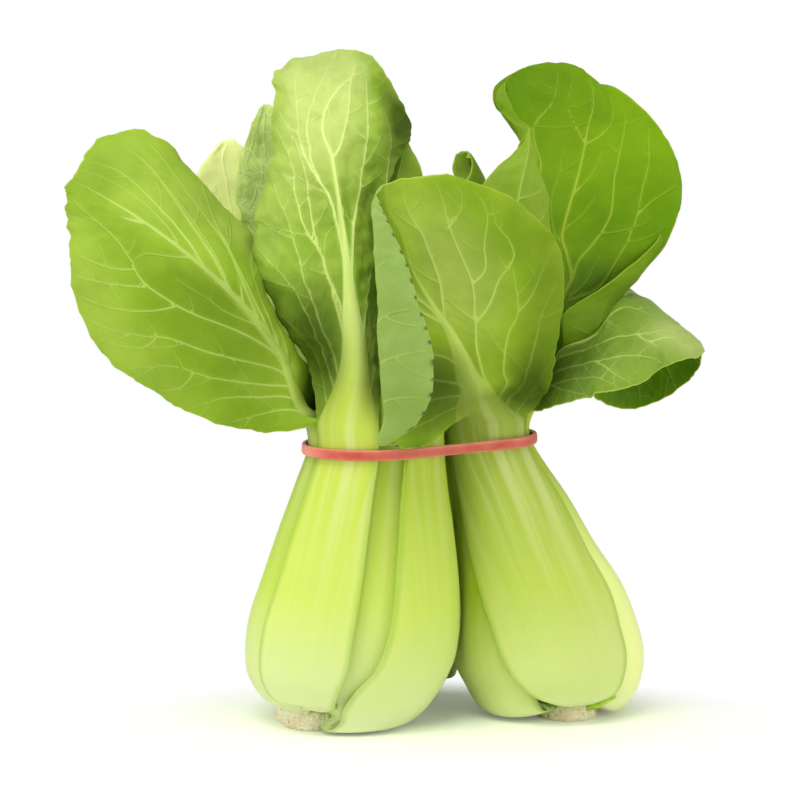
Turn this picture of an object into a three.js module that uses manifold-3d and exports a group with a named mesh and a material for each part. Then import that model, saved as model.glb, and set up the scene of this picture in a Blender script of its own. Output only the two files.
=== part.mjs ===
// A bunch of baby bok choy: three heads that lean together and stand on their cut ends,
// held at the necks by one red rubber band. Millimetres, +Z up, the front of the bunch towards -Y.
//
// A head is a bulb of nested leaves on a cut stem base. Each leaf is one piece: a thick petiole that
// follows the bulb from the stem base to the neck, and a thin blade above it.
import * as THREE from "three";
import Module from "manifold-3d";

const wasm = await Module();
wasm.setup();

// ---------------------------------------------------------------- driving dimensions

const GAP = 0.35; // left between neighbouring pieces
const NECK_HEIGHT = 80; // height of the rubber band above the surface
const PETIOLE_THICKNESS = 5.2; // at the middle of a petiole
const PETIOLE_EDGE = 1.3;
const MIDRIB_THICKNESS = 2.2; // at the foot of a blade
const BLADE_THICKNESS = 1.0;
const LEAF_FACETS = 6; // across a leaf, unless the leaf says otherwise
const SLIVER = 0.05; // facets thinner than this, left by the cuts, are merged
const FOOT = 0.8; // lowest point of a leaf: only the cut stems touch the surface
const SOLE = 2; // level up to which a bulb's skin lies almost flat
const SOLE_RISE = 1.7; // how much more a foot is sunk upwards than sideways below that level
const BELLY = 5; // level from which a bulb's skin no longer faces down
const NARROWING = [1, 0.7, 0.35, 0.1]; // of a foot, at the lowest levels
const LIFTING = [0.6, 1, 0.8, 0.15];

const BAND = { clear: 0.5, height: 3.2, thickness: 1.2, slope: 0.02, colour: 0xcd4b41 };
const BASE = { shoulder: 4.2, rise: 11, colour: 0xe6dcb4 };
const LEAF_COLOUR = 0x9cc23c;
const SHOOT_COLOUR = 0x86c440;

// A head's bulb, level by level from its foot to its neck: the height, the centre (x, y) and the
// half-widths along X and Y. The stem base stands under the first level.
const HEADS = {
  left: [
    { z: 0.8, centre: [-18, 2], half: [11, 11] },
    { z: 1.1, centre: [-11, -2], half: [17.5, 20] },
    { z: 3.5, centre: [-9.5, -2], half: [19.8, 20.8] },
    { z: 8, centre: [-11, -2], half: [25, 23] },
    { z: 14, centre: [-11.1, -2.2], half: [28.4, 26] },
    { z: 20, centre: [-10.4, -2.5], half: [29.8, 27] },
    { z: 30, centre: [-9.3, -3.5], half: [29.8, 26.8] },
    { z: 42, centre: [-7.6, -5.5], half: [27.6, 24.5] },
    { z: 56, centre: [-6, -8], half: [24.5, 21] },
    { z: 69, centre: [-4.5, -10], half: [21.3, 18] },
    { z: NECK_HEIGHT, centre: [-3.1, -11], half: [19, 16.2] },
    { z: 87, centre: [-3.2, -11.5], half: [19.3, 16.4] },
  ],
  right: [
    { z: 0.8, centre: [51, 13], half: [9.5, 9.5] },
    { z: 1.4, centre: [46.5, 9.5], half: [19.5, 18.5] },
    { z: 3.4, centre: [46.9, 10], half: [22.2, 20.6] },
    { z: 8, centre: [46.9, 10.3], half: [24.8, 22] },
    { z: 13.5, centre: [46.2, 10], half: [26.8, 23.8] },
    { z: 20, centre: [45.7, 9.5], half: [27.1, 24] },
    { z: 28, centre: [44.4, 8.5], half: [26.1, 23] },
    { z: 38, centre: [42.3, 7], half: [24.1, 21.3] },
    { z: 50, centre: [38.4, 5], half: [20.2, 18] },
    { z: 63, centre: [34.5, 2.5], half: [16.7, 15] },
    { z: NECK_HEIGHT, centre: [28.4, 0], half: [11.9, 11.9] },
    { z: 87, centre: [27.6, -1], half: [12.1, 12] },
  ],
  back: [
    { z: 0.8, centre: [2, 50], half: [9.5, 9.5] },
    { z: 2, centre: [0, 48.5], half: [14.5, 13.5] },
    { z: 4, centre: [-1, 48.2], half: [17.5, 16] },
    { z: 8, centre: [-1.5, 48], half: [20, 18] },
    { z: 13.5, centre: [-1.8, 47.5], half: [22, 19.8] },
    { z: 20, centre: [-2, 46.7], half: [22.8, 20.3] },
    { z: 28, centre: [-1.4, 44.8], half: [22.3, 19.8] },
    { z: 40, centre: [0.5, 40], half: [19.5, 17.5] },
    { z: 55, centre: [3.5, 33], half: [15.5, 14.5] },
    { z: 68, centre: [6, 26.5], half: [12.9, 12.2] },
    { z: NECK_HEIGHT, centre: [8, 21], half: [11.3, 11] },
    { z: 87, centre: [8.5, 19], half: [11.6, 11.3] },
  ],
};

// The leaves of each head, the outer ones first. `azimuth` and `spread` are the middle and the
// half-width of the petiole in degrees round the bulb, at the foot, the belly and the neck; `depth`
// is how far it lies inside the bulb there; `tuck` is how far its two edges dip under its
// neighbours; `narrow` is the share of its spread that it loses at the foot, and `lift` is how far
// its underside is drawn up onto the stem base. `blade` lists cross-sections from the neck to the tip, each from the leaf's first
// edge over the midrib to its second edge; `across` places the points of a section. The left half
// of the right head's front leaf is folded forwards, so its sections turn back on themselves.
const LEAVES = {
  left: {
    front: {
      lift: 6,
      narrow: 0.35,
      azimuth: [235, 241, 244],
      spread: [26, 29, 29],
      blade: [
        [[-22, -17, 103], [-9, -29, 105], [-2, -20, 104]],
        [[-29, -14, 116], [-10, -29, 120], [-3, -21, 118]],
        [[-36, -12, 131], [-11, -28, 135], [-3, -21, 132]],
        [[-36, -12, 147], [-13, -25, 149], [-2, -20, 145]],
        [[-32, -10, 162], [-15, -20, 161], [3, -14, 159]],
        [[-31, -4, 177], [-16, -13, 175], [6, -8, 168]],
        [[-28, 2, 184], [-15, -4, 183], [0, -2, 180]],
        [[-21, 5, 186], [-14, 1, 187], [-6, 3, 187]],
      ],
    },
    right: {
      azimuth: [300, 324, 325],
      spread: [40, 38, 28],
      blade: [
        [[6, -21, 98], [13, -20, 99], [19, -13, 98]],
        [[3, -20, 114], [12, -20, 115], [20, -11, 114]],
        [[2, -19, 130], [11, -20, 131], [20, -9, 130]],
        [[5, -18, 143], [12, -18, 144], [19, -10, 143]],
        [[9, -16, 150], [13, -16, 151], [17, -12, 150]],
      ],
    },
    side: {
      azimuth: [190, 195, 195],
      spread: [34, 36, 34],
      tuck: [0, 5],
      blade: [
        [[-23, -14, 95], [-25, -17, 95], [-30, -11, 86]],
        [[-26, -14, 106], [-28, -18, 104], [-43, -11, 86]],
        [[-32, -12, 119], [-36, -21, 115], [-63, -12, 95]],
        [[-35, -8, 131], [-47, -22, 127], [-79, -12, 108]],
        [[-43, -3, 142], [-57, -20, 137], [-86, -10, 126]],
        [[-56, 2, 156], [-68, -16, 145], [-87, -6, 140]],
        [[-69, 4, 165], [-77, -9, 149], [-87, -3, 147]],
        [[-79, 2, 164], [-83, -2, 157], [-86, 0, 153]],
      ],
    },
    back_pale: {
      azimuth: [130, 130, 130],
      spread: [34, 36, 32],
      tuck: [5, 5],
      blade: [
        [[-14, 5, 100], [-20, 5, 99], [-25, 0, 99]],
        [[-19, 12, 110], [-26, 9, 109], [-33, 4, 109]],
        [[-28, 19, 126], [-37, 14, 127], [-46, 8, 126]],
        [[-36, 23, 140], [-44, 19, 141], [-52, 12, 138]],
        [[-39, 25, 151], [-46, 22, 151], [-54, 16, 150]],
        [[-41, 26, 159], [-47, 24, 158], [-53, 20, 155]],
        [[-43, 26, 162], [-45, 26, 162.5], [-48, 25, 161]],
      ],
    },
    back_dark: {
      azimuth: [80, 82, 88],
      spread: [30, 32, 28],
      tuck: [5, 0],
      blade: [
        [[2, 7, 100], [-6, 7, 100], [-12, 4, 99]],
        [[-4, 11, 112], [-13, 9, 112], [-20, 5, 110]],
        [[-12, 16, 128], [-23, 13, 128], [-34, 8, 127]],
        [[-19, 18, 145], [-30, 15, 144], [-42, 10, 144]],
        [[-25, 19, 157], [-34, 16, 155], [-42, 13, 155]],
        [[-28, 19, 168], [-35, 17, 165], [-39, 16, 166]],
        [[-32, 19, 172], [-34, 19, 173], [-36, 18, 172]],
      ],
    },
    back_right: {
      azimuth: [30, 28, 35],
      spread: [30, 32, 28],
      tuck: [5, 0],
      blade: [
        [[17, -4, 99], [12, 0, 100], [6, 2, 99]],
        [[22, -3, 115], [14, 2, 116], [5, 4, 115]],
        [[24, -2, 130], [15, 3, 131], [6, 5, 130]],
        [[22, -1, 142], [15, 3, 143], [9, 4, 142]],
        [[18, 1, 148], [15, 3, 149], [12, 3, 148]],
      ],
    },
    inner: {
      azimuth: [270, 277, 285],
      spread: [22, 24, 24],
      depth: [2.5, 2.5, 3],
      blade: [
        [[-12, -14, 100], [-4, -17, 101], [6, -13, 100]],
        [[-14, -12, 118], [-3, -16, 119], [10, -12, 118]],
        [[-12, -10, 136], [-1, -14, 137], [12, -10, 135]],
        [[-6, -9, 150], [2, -11, 151], [11, -8, 149]],
        [[-1, -8, 158], [4, -9, 160], [9, -8, 157]],
        [[2, -7, 163], [5, -7, 164], [6.5, -7, 162]],
      ],
    },
    heart: {
      azimuth: [180, 180, 180],
      spread: [30, 30, 38],
      depth: [12, 10, 7],
      blade: [
        [[-14, -4, 99], [-17, -9, 100], [-15, -14, 99]],
        [[-14, -1, 113], [-19, -8, 115], [-17, -14, 113]],
        [[-15, 0, 126], [-21, -6, 128], [-20, -12, 126]],
        [[-18, -1, 136], [-22, -5, 138], [-22, -9, 136]],
        [[-21, -3, 142], [-23, -5, 143], [-23, -7, 142]],
      ],
    },
  },
  right: {
    front: {
      lift: 5,
      narrow: 0.65,
      azimuth: [287, 280, 268],
      spread: [38, 42, 72],
      across: [-1, -0.45, 0.1, 1],
      facets: 10,
      blade: [
        [[17, -10, 88], [20, -13, 89], [27, -15, 90], [40, -6, 89]],
        [[12, -26, 83], [17, -21, 87], [25, -17, 94], [42, -8, 91]],
        [[0, -33, 84], [1, -33, 86], [24, -20, 98], [44, -11, 95]],
        [[8, -37, 90], [0, -35, 92], [22, -23, 101], [45, -13, 99]],
        [[12, -40, 99], [-1, -37, 101], [20, -26, 107], [46, -16, 105]],
        [[12, -42, 111], [-2, -39, 112], [17, -28, 114], [47, -18, 113]],
        [[9, -42, 121], [-2, -40, 124], [12, -30, 122], [48, -19, 124]],
        [[6, -41, 132], [-3, -40, 135], [7, -32, 131], [47, -21, 136]],
        [[2, -39, 141], [-3, -38, 143], [4, -34, 141], [41, -24, 144]],
        [[-1, -37, 147], [-3, -36, 149], [0, -34, 149], [32, -27, 151]],
        [[-2, -36, 151], [-2, -35, 152], [1, -34, 155], [16, -31, 157]],
      ],
    },
    left: {
      azimuth: [210, 203, 215],
      spread: [38, 38, 34],
      depth: [0, 0, 5.6],
      tuck: [0, 5],
      blade: [
        [[22, -11, 98], [27, -14, 99], [33, -12, 98]],
        [[23, -14, 111], [31, -16, 111], [41, -11, 110]],
        [[22, -13, 129], [33, -15, 128], [46, -9, 124]],
        [[23, -11, 144], [35, -13, 143], [46, -6, 136]],
        [[27, -9, 153], [37, -10, 154], [44, -4, 148]],
        [[34, -7, 161], [39, -7, 162], [42, -4, 158]],
        [[38, -5, 165], [39, -5, 168], [40.5, -4, 165]],
      ],
    },
    drooping: {
      azimuth: [345, 347, 352],
      spread: [34, 34, 34],
      tuck: [5, 0],
      across: [-1, -0.4, 0.3, 1],
      facets: 10,
      blade: [
        [[43, -5, 90], [45, -2, 92], [46, 1, 93], [45, 4, 92]],
        [[48, -12, 92], [50, -4, 99], [52, 3, 102], [52, 9, 97]],
        [[55, -15, 94], [56, -4, 105], [59, 14, 108], [58, 24, 91]],
        [[62, -15, 96], [64, -3, 108], [66, 27, 119], [63, 34, 85.5]],
        [[70, -13, 98], [71, -3, 109], [74, 28, 115], [70, 37, 83.5]],
        [[77, -9, 102], [78, 0, 110], [81, 26, 109], [78, 34, 86]],
        [[83, -3, 103], [84, 5, 108], [86, 22, 105.5], [85, 28, 92]],
        [[87, 4, 103], [89, 8, 104], [89, 16, 102.5], [89, 19, 99]],
      ],
    },
    upper: {
      azimuth: [38, 38, 45],
      spread: [30, 32, 34],
      tuck: [5, 0],
      across: [-1, -0.6, 0, 0.5, 1],
      facets: 8,
      blade: [
        [[48, 8, 97], [47, 9, 98], [44, 9, 98], [41, 9, 98.5], [39, 9, 99]],
        [[49, 2, 107], [55, 5, 105], [47.5, 8, 110], [44, 6, 111.5], [42, 5, 112]],
        [[49, 1, 115], [61, 8, 112], [48.5, 10, 118], [44, 6, 120], [42, 4, 122]],
        [[56, 6, 119.5], [66.5, 15, 118.5], [51.5, 12, 123.5], [45.5, 8, 125.5], [42, 4, 127.5]],
        [[66, 12, 125], [72, 19, 125], [50.5, 13, 130], [45, 9, 132.5], [41.5, 5, 135]],
        [[76, 19, 133.5], [77.5, 21, 133], [49, 14, 136], [44, 9, 139.5], [40, 5, 144]],
        [[82.5, 23, 144], [79.5, 22, 144], [51, 15, 144], [41.5, 9.5, 148], [38, 6, 153]],
        [[82, 25, 155.5], [77.5, 23, 155], [54, 18, 154], [41.5, 12, 157.5], [36, 7, 161.5]],
        [[75.5, 28, 167.5], [69, 27, 167.5], [56.5, 22, 165.5], [33, 14, 170], [40, 8, 167]],
        [[65.5, 29, 176.5], [62, 28, 176], [58, 24, 172.5], [31, 19, 174.5], [35, 14, 172]],
        [[60, 29, 177.5], [59, 29, 178], [56, 26, 179], [32.5, 22, 178.5], [33, 20, 178.5]],
        [[55.5, 29, 182], [53.5, 28.5, 183], [48.5, 27.5, 184], [40.5, 25, 183.5], [38, 24, 182.5]],
      ],
    },
    back: {
      azimuth: [110, 108, 112],
      spread: [38, 38, 34],
      tuck: [0, 5],
      blade: [
        [[33, 14, 100], [27, 17, 100], [21, 14, 100]],
        [[40, 20, 116], [30, 24, 116], [21, 19, 116]],
        [[42, 25, 132], [31, 30, 132], [22, 25, 131]],
        [[39, 28, 143], [31, 33, 144], [25, 29, 142]],
        [[34, 31, 149], [31, 33, 150], [28, 31, 149]],
      ],
    },
    heart: {
      azimuth: [310, 310, 318],
      spread: [30, 30, 30],
      depth: [11, 8, 5.6],
      blade: [
        [[31, -7, 99], [35, -6, 100], [39, -2, 99]],
        [[31, -6, 112], [36, -5, 114], [41, 0, 112]],
        [[33, -5, 122], [37, -4, 124], [40, -1, 122]],
        [[35, -4, 128], [37, -4, 129], [39, -3, 128]],
      ],
    },
  },
  back: {
    back: {
      azimuth: [90, 90, 90],
      spread: [38, 38, 36],
      blade: [
        [[15, 33, 99], [8, 36, 99], [1, 33, 99]],
        [[22, 40, 111], [8, 45, 112], [-7, 40, 111]],
        [[29, 47, 125], [8, 54, 124], [-14, 47, 125]],
        [[30, 54, 139], [8, 62, 135], [-15, 54, 139]],
        [[24, 61, 149], [8, 67, 144], [-9, 61, 149]],
        [[15, 66, 153], [8, 69, 150], [0, 66, 153]],
      ],
    },
    right: {
      azimuth: [20, 20, 22],
      spread: [34, 34, 34],
      tuck: [0, 5],
      blade: [
        [[22, 22, 96], [21, 29, 96], [17, 32, 95]],
        [[36, 29, 100], [29, 38, 100], [22, 41, 98]],
        [[50, 36, 107], [40, 48, 104], [27, 53, 101]],
        [[60, 44, 111], [50, 57, 107], [35, 64, 104]],
        [[62, 53, 111], [56, 63, 108], [44, 69, 106]],
        [[60, 60, 110], [57, 65, 109], [51, 68, 108]],
      ],
    },
    left: {
      azimuth: [160, 160, 158],
      spread: [36, 36, 34],
      tuck: [5, 0],
      blade: [
        [[0, 32, 97], [-5, 27, 98], [-6, 21, 98]],
        [[-7, 43, 102], [-15, 36, 105], [-17, 26, 105]],
        [[-16, 56, 109], [-27, 46, 113], [-32, 32, 113]],
        [[-26, 65, 117], [-38, 54, 121], [-46, 40, 121]],
        [[-37, 69, 124], [-46, 60, 127], [-53, 49, 127]],
        [[-44, 68, 128], [-49, 63, 130], [-53, 57, 129]],
      ],
    },
    front_left: {
      azimuth: [230, 230, 235],
      spread: [36, 36, 32],
      tuck: [5, 0],
      blade: [
        [[-3, 17, 98], [1, 13, 99], [6, 12, 98]],
        [[-7, 22, 112], [0, 17, 114], [7, 15, 112]],
        [[-9, 28, 126], [0, 22, 128], [8, 20, 126]],
        [[-7, 32, 138], [0, 27, 140], [7, 25, 138]],
        [[-3, 32, 145], [0, 29, 146], [3, 28, 145]],
      ],
    },
    front_right: {
      azimuth: [305, 305, 305],
      spread: [40, 40, 36],
      tuck: [5, 5],
      blade: [
        [[9, 9, 100], [14, 9, 101], [18, 12, 100]],
        [[9, 8, 118], [15, 8, 119], [20, 12, 118]],
        [[11, 9, 136], [17, 9, 137], [22, 13, 136]],
        [[15, 12, 148], [20, 12, 149], [24, 16, 148]],
        [[19, 15, 156], [21, 15, 158], [24, 17, 154]],
        [[20, 17, 159], [21, 17, 160], [23, 18, 158]],
      ],
    },
    heart: {
      azimuth: [60, 60, 60],
      spread: [30, 30, 34],
      depth: [11, 8, 6],
      blade: [
        [[14, 22, 98], [11, 25, 99], [6, 25, 98]],
        [[15, 26, 110], [11, 29, 111], [6, 28, 110]],
        [[14, 31, 119], [11, 32, 120], [8, 32, 119]],
      ],
    },
  },
};

// A thin side shoot, trimmed short, that sticks out of the right head's foot.
const SHOOT = { radius: 1.1, route: [[53, 3, 1.6], [58, -1, 2.6], [63, -3, 5.4]] };

// ---------------------------------------------------------------- curves and sections

const vector = (point) => new THREE.Vector3(...point);

/** The point at `t` on a smooth curve that meets each of `points` at its own knot. */
function along(points, knots, t) {
  const last = knots.length - 1;
  let i = 0;
  while (i < last - 1 && t > knots[i + 1]) i += 1;
  const chord = (k) => points[k + 1].clone().sub(points[k]).divideScalar(knots[k + 1] - knots[k]);
  const inner = (k) => points[k + 1].clone().sub(points[k - 1]).divideScalar(knots[k + 1] - knots[k - 1]);
  const slope = (k) => {
    if (last === 1) return chord(0);
    if (k === 0) return chord(0).multiplyScalar(1.5).addScaledVector(inner(1), -0.5);
    if (k === last) return chord(last - 1).multiplyScalar(1.5).addScaledVector(inner(last - 1), -0.5);
    return inner(k);
  };
  const span = knots[i + 1] - knots[i];
  const f = (t - knots[i]) / span;
  return new THREE.Vector3()
    .addScaledVector(points[i], 2 * f ** 3 - 3 * f ** 2 + 1)
    .addScaledVector(slope(i), (f ** 3 - 2 * f ** 2 + f) * span)
    .addScaledVector(points[i + 1], 3 * f ** 2 - 2 * f ** 3)
    .addScaledVector(slope(i + 1), (f ** 3 - f ** 2) * span);
}

/** Blend of the foot, belly and neck values of a leaf at `share` of the way up its petiole. */
function graded([foot, belly, neck], share) {
  return share < 0.5
    ? THREE.MathUtils.lerp(foot, belly, share * 2)
    : THREE.MathUtils.lerp(belly, neck, share * 2 - 1);
}

/** Point on the bulb's skin, `level` counting the levels of the head and `angle` in radians. */
function bulbPoint(head, level, angle) {
  const knots = head.map((_, i) => i);
  const centre = along(head.map((row) => vector([...row.centre, row.z])), knots, level);
  const half = along(head.map((row) => vector([...row.half, 0])), knots, level);
  return centre.add(vector([half.x * Math.cos(angle), half.y * Math.sin(angle), 0]));
}

/** Outward normal of the bulb's skin at the same place. */
function bulbNormal(head, level, angle) {
  const step = 0.02;
  const top = Math.min(level + step, head.length - 1);
  const bottom = Math.max(level - step, 0);
  const round = bulbPoint(head, level, angle + step).sub(bulbPoint(head, level, angle - step));
  const up = bulbPoint(head, top, angle).sub(bulbPoint(head, bottom, angle));
  return round.cross(up).normalize();
}

/** The rows of points of a petiole's outer face, from the foot to the neck. */
function petioleRows(head, leaf, columns) {
  const [firstTuck, secondTuck] = leaf.tuck ?? [0, 0];
  return head.map((_, level) => {
    const share = level / (head.length - 1);
    const spread = graded(leaf.spread, share) * (1 - (leaf.narrow ?? 0) * (NARROWING[level] ?? 0));
    const lift = (leaf.lift ?? 0) * (LIFTING[level] ?? 0);
    return columns.map((side) => {
      const turn = graded(leaf.azimuth, share) + side * spread;
      const dip = (side < 0 ? firstTuck : secondTuck) * side ** 2;
      const depth = graded(leaf.depth ?? [0, 0, 0], share) + dip;
      const angle = THREE.MathUtils.degToRad(turn);
      const inward = bulbNormal(head, level, angle).negate();
      if (level < BELLY) inward.setZ(Math.max(inward.z, 0)).normalize();
      if (level < SOLE) inward.set(-Math.cos(angle), -Math.sin(angle), SOLE_RISE).normalize();
      const point = bulbPoint(head, level, angle).addScaledVector(inward, depth);
      return point.setZ(Math.max(point.z, FOOT) + lift);
    });
  });
}

/** The rows of points of a blade's outer face, from the neck to the tip. */
function bladeRows(leaf, columns) {
  const across = leaf.across ?? [-1, 0, 1];
  return leaf.blade.map((section) => {
    const points = section.map(vector);
    return columns.map((side) => along(points, across, side));
  });
}

// ---------------------------------------------------------------- leaf solids

/** Thickness of a leaf at a row and a side, where 0 is the midrib and 1 the edge. */
function thickness(row, petioleCount, rowCount, side) {
  const edge = Math.abs(side);
  const petiole = THREE.MathUtils.lerp(PETIOLE_THICKNESS, PETIOLE_EDGE, edge ** 2);
  if (row < petioleCount) return petiole;
  const out = (row - petioleCount + 1) / (rowCount - petioleCount);
  const rib = THREE.MathUtils.lerp(MIDRIB_THICKNESS, BLADE_THICKNESS, Math.sqrt(out));
  return THREE.MathUtils.lerp(rib, BLADE_THICKNESS, Math.min(1, edge * 2.5));
}

/** Unit vector from one grid point to another, clamped to the grid. */
function direction(grid, i, j, di, dj) {
  const rows = grid.length - 1;
  const columns = grid[0].length - 1;
  const at = (a, b) => grid[THREE.MathUtils.clamp(a, 0, rows)][THREE.MathUtils.clamp(b, 0, columns)];
  return at(i + di, j + dj).clone().sub(at(i - di, j - dj)).normalize();
}

/**
 * Solid shell under the grid of points of an outer face, grown by `growth` all round. Each cell
 * of the grid is a small convex block, so a sharp bend never turns the shell inside out.
 */
function shellSolid(grid, thick, growth) {
  const rows = grid.length;
  const columns = grid[0].length;
  const stems = grid.map((row, i) =>
    row.map((place, j) => {
      const across = direction(grid, i, j, 0, 1);
      const up = direction(grid, i, j, 1, 0);
      const normal = across.clone().cross(up).normalize();
      const point = place.clone();
      point.addScaledVector(across, growth * ((j === columns - 1) - (j === 0)));
      point.addScaledVector(up, growth * ((i === rows - 1) - (i === 0)));
      const outer = point.clone().addScaledVector(normal, growth);
      const inner = point.addScaledVector(normal, -thick(i, j) - growth);
      return [outer, inner].map((corner) => corner.setZ(Math.max(corner.z, FOOT - growth)));
    }),
  );
  const blocks = [];
  for (let i = 0; i + 1 < rows; i += 1) {
    for (let j = 0; j + 1 < columns; j += 1) {
      const corners = [stems[i][j], stems[i][j + 1], stems[i + 1][j], stems[i + 1][j + 1]].flat();
      blocks.push(wasm.Manifold.hull(corners.map((corner) => corner.toArray())));
    }
  }
  return wasm.Manifold.union(blocks);
}

/** A manifold-3d solid with these vertices and triangles. */
function solidOf(points, triangles) {
  return new wasm.Manifold(
    new wasm.Mesh({
      numProp: 3,
      vertProperties: new Float32Array(points.flatMap((p) => p.toArray())),
      triVerts: new Uint32Array(triangles),
    }),
  );
}

/** The largest single body of a solid. */
function largestBody(solid) {
  return solid.decompose().reduce((best, body) => (body.volume() > best.volume() ? body : best));
}

/** A leaf's solid, and the same solid grown by the gap that its neighbours keep. */
function leafSolids(head, leaf) {
  const facets = leaf.facets ?? LEAF_FACETS;
  const columns = Array.from({ length: facets + 1 }, (_, j) => (2 * j) / facets - 1);
  const petiole = petioleRows(head, leaf, columns);
  const grid = [...petiole, ...bladeRows(leaf, columns)];
  const thick = (i, j) => thickness(i, petiole.length, grid.length, columns[j]);
  const solid = shellSolid(grid, thick, 0);
  return { solid, grown: shellSolid(grid, thick, GAP).add(solid) };
}

// ---------------------------------------------------------------- stem bases, band and shoot

/** Triangles of the wall of a tube of rings, without its two ends. */
function ringTriangles(rings, sides) {
  const triangles = [];
  for (let i = 0; i + 1 < rings; i += 1) {
    for (let j = 0; j < sides; j += 1) {
      const a = i * sides + j;
      const b = i * sides + ((j + 1) % sides);
      triangles.push(a, b, b + sides, a, b + sides, a + sides);
    }
  }
  return triangles;
}

/** A head's cut stem base: a flat cut face on the surface, and a core that rises into the bulb. */
function baseSolid(head, growth) {
  const { centre, half, z } = head[0];
  const sides = 20;
  const outline = [
    [-growth, half[0] - 1.2 + growth],
    [z, half[0] - 0.4 + growth],
    [BASE.shoulder, half[0] * 0.85 + growth],
    [BASE.rise * 0.65, half[0] * 0.55 + growth],
    [BASE.rise + growth, half[0] * 0.3 + growth],
  ];
  const drift = vector([...head[2].centre, 0]).sub(vector([...centre, 0])).divideScalar(head[2].z);
  const points = outline.flatMap(([height, radius]) =>
    Array.from({ length: sides }, (_, k) => {
      const turn = (2 * Math.PI * k) / sides;
      const shift = Math.max(height - z, 0) * 0.5;
      return vector([centre[0], centre[1], height])
        .addScaledVector(drift, shift)
        .add(vector([radius * Math.cos(turn), radius * Math.sin(turn), 0]));
    }),
  );
  const triangles = ringTriangles(outline.length, sides);
  const top = (outline.length - 1) * sides;
  for (let k = 1; k + 1 < sides; k += 1) {
    triangles.push(0, k + 1, k, top, top + k, top + k + 1);
  }
  return solidOf(points, triangles);
}

/** Where a taut loop round the three necks runs in the direction of `turn`, `out` clear of them. */
function bandPoint(turn, out) {
  const normal = vector([Math.cos(turn), Math.sin(turn), 0]);
  const touching = Object.values(HEADS).map((head) => {
    const { centre, half } = head.find((row) => row.z === NECK_HEIGHT);
    const reach = Math.hypot(half[0] * normal.x, half[1] * normal.y);
    return vector([
      centre[0] + (half[0] ** 2 * normal.x) / reach,
      centre[1] + (half[1] ** 2 * normal.y) / reach,
      0,
    ]);
  });
  const widest = touching.reduce((a, b) => (b.dot(normal) > a.dot(normal) ? b : a));
  return widest.addScaledVector(normal, out);
}

/** The rubber band, grown by `growth`: a flat loop with rounded corners, higher on the right. */
function bandSolid(growth) {
  const steps = 72;
  const inside = BAND.clear - growth;
  const outside = BAND.clear + BAND.thickness + growth;
  const corner = BAND.thickness * 0.3;
  const half = BAND.height / 2 + growth;
  const section = [
    [inside, corner - half],
    [inside, half - corner],
    [inside + corner, half],
    [outside - corner, half],
    [outside, half - corner],
    [outside, corner - half],
    [outside - corner, -half],
    [inside + corner, -half],
  ];
  const points = Array.from({ length: steps }, (_, k) => {
    const turn = (2 * Math.PI * k) / steps;
    return section.map(([out, rise]) => {
      const point = bandPoint(turn, out);
      return point.setZ(NECK_HEIGHT + rise + BAND.slope * point.x);
    });
  }).flat();
  const triangles = ringTriangles(steps, section.length);
  const end = (steps - 1) * section.length;
  for (let j = 0; j < section.length; j += 1) {
    const next = (j + 1) % section.length;
    triangles.push(end + j, end + next, next, end + j, next, j);
  }
  return solidOf(points, triangles);
}

/** The cut side shoot, an eight-sided stalk. */
function shootSolid(growth) {
  const sides = 8;
  const curve = new THREE.CatmullRomCurve3(SHOOT.route.map(vector));
  const steps = 4;
  const frames = curve.computeFrenetFrames(steps);
  const radius = SHOOT.radius + growth;
  const points = Array.from({ length: steps + 1 }, (_, i) => {
    const middle = curve.getPointAt(i / steps);
    return Array.from({ length: sides }, (_, k) => {
      const turn = (2 * Math.PI * k) / sides;
      return middle
        .clone()
        .addScaledVector(frames.normals[i], radius * Math.cos(turn))
        .addScaledVector(frames.binormals[i], radius * Math.sin(turn));
    });
  }).flat();
  const triangles = ringTriangles(steps + 1, sides);
  const top = steps * sides;
  for (let k = 1; k + 1 < sides; k += 1) {
    triangles.push(0, k + 1, k, top, top + k, top + k + 1);
  }
  return solidOf(points, triangles);
}

// ---------------------------------------------------------------- the bunch

/** A named mesh of a solid, with its own material. */
function meshOf(name, solid, colour, roughness) {
  const { vertProperties, triVerts } = solid.getMesh();
  const geometry = new THREE.BufferGeometry();
  geometry.setAttribute("position", new THREE.BufferAttribute(vertProperties, 3));
  geometry.setIndex(new THREE.BufferAttribute(triVerts, 1));
  geometry.computeVertexNormals();
  const material = new THREE.MeshStandardMaterial({ color: colour, roughness, metalness: 0 });
  const mesh = new THREE.Mesh(geometry, material);
  mesh.name = name;
  return mesh;
}

/** Everything already placed, grown by the gap, which each further piece is cut clear of. */
const placed = [];

function place(solid, grown) {
  const clear = placed.reduce((rest, other) => rest.subtract(other), solid);
  placed.push(grown);
  return largestBody(clear.simplify(SLIVER));
}

const bunch = new THREE.Group();
bunch.name = "bok_choy_bunch";

const groups = {};
for (const [side, head] of Object.entries(HEADS)) {
  groups[side] = new THREE.Group();
  groups[side].name = `${side}_head`;
  bunch.add(groups[side]);
  const base = place(baseSolid(head, 0), baseSolid(head, GAP));
  groups[side].add(meshOf(`${side}_stem_base`, base, BASE.colour, 0.8));
}

const shoot = place(shootSolid(0), shootSolid(GAP));
groups.right.add(meshOf("right_cut_shoot", shoot, SHOOT_COLOUR, 0.6));

const band = place(bandSolid(0), bandSolid(GAP));
bunch.add(meshOf("rubber_band", band, BAND.colour, 0.45));

for (const [side, leaves] of Object.entries(LEAVES)) {
  for (const [name, leaf] of Object.entries(leaves)) {
    const { solid, grown } = leafSolids(HEADS[side], leaf);
    groups[side].add(meshOf(`${side}_leaf_${name}`, place(solid, grown), LEAF_COLOUR, 0.55));
  }
}

// The part's origin is on the surface, under the middle of the bunch.
const box = new THREE.Box3().setFromObject(bunch);
const middle = box.getCenter(new THREE.Vector3());
bunch.position.set(-middle.x, -middle.y, -box.min.z);

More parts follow.
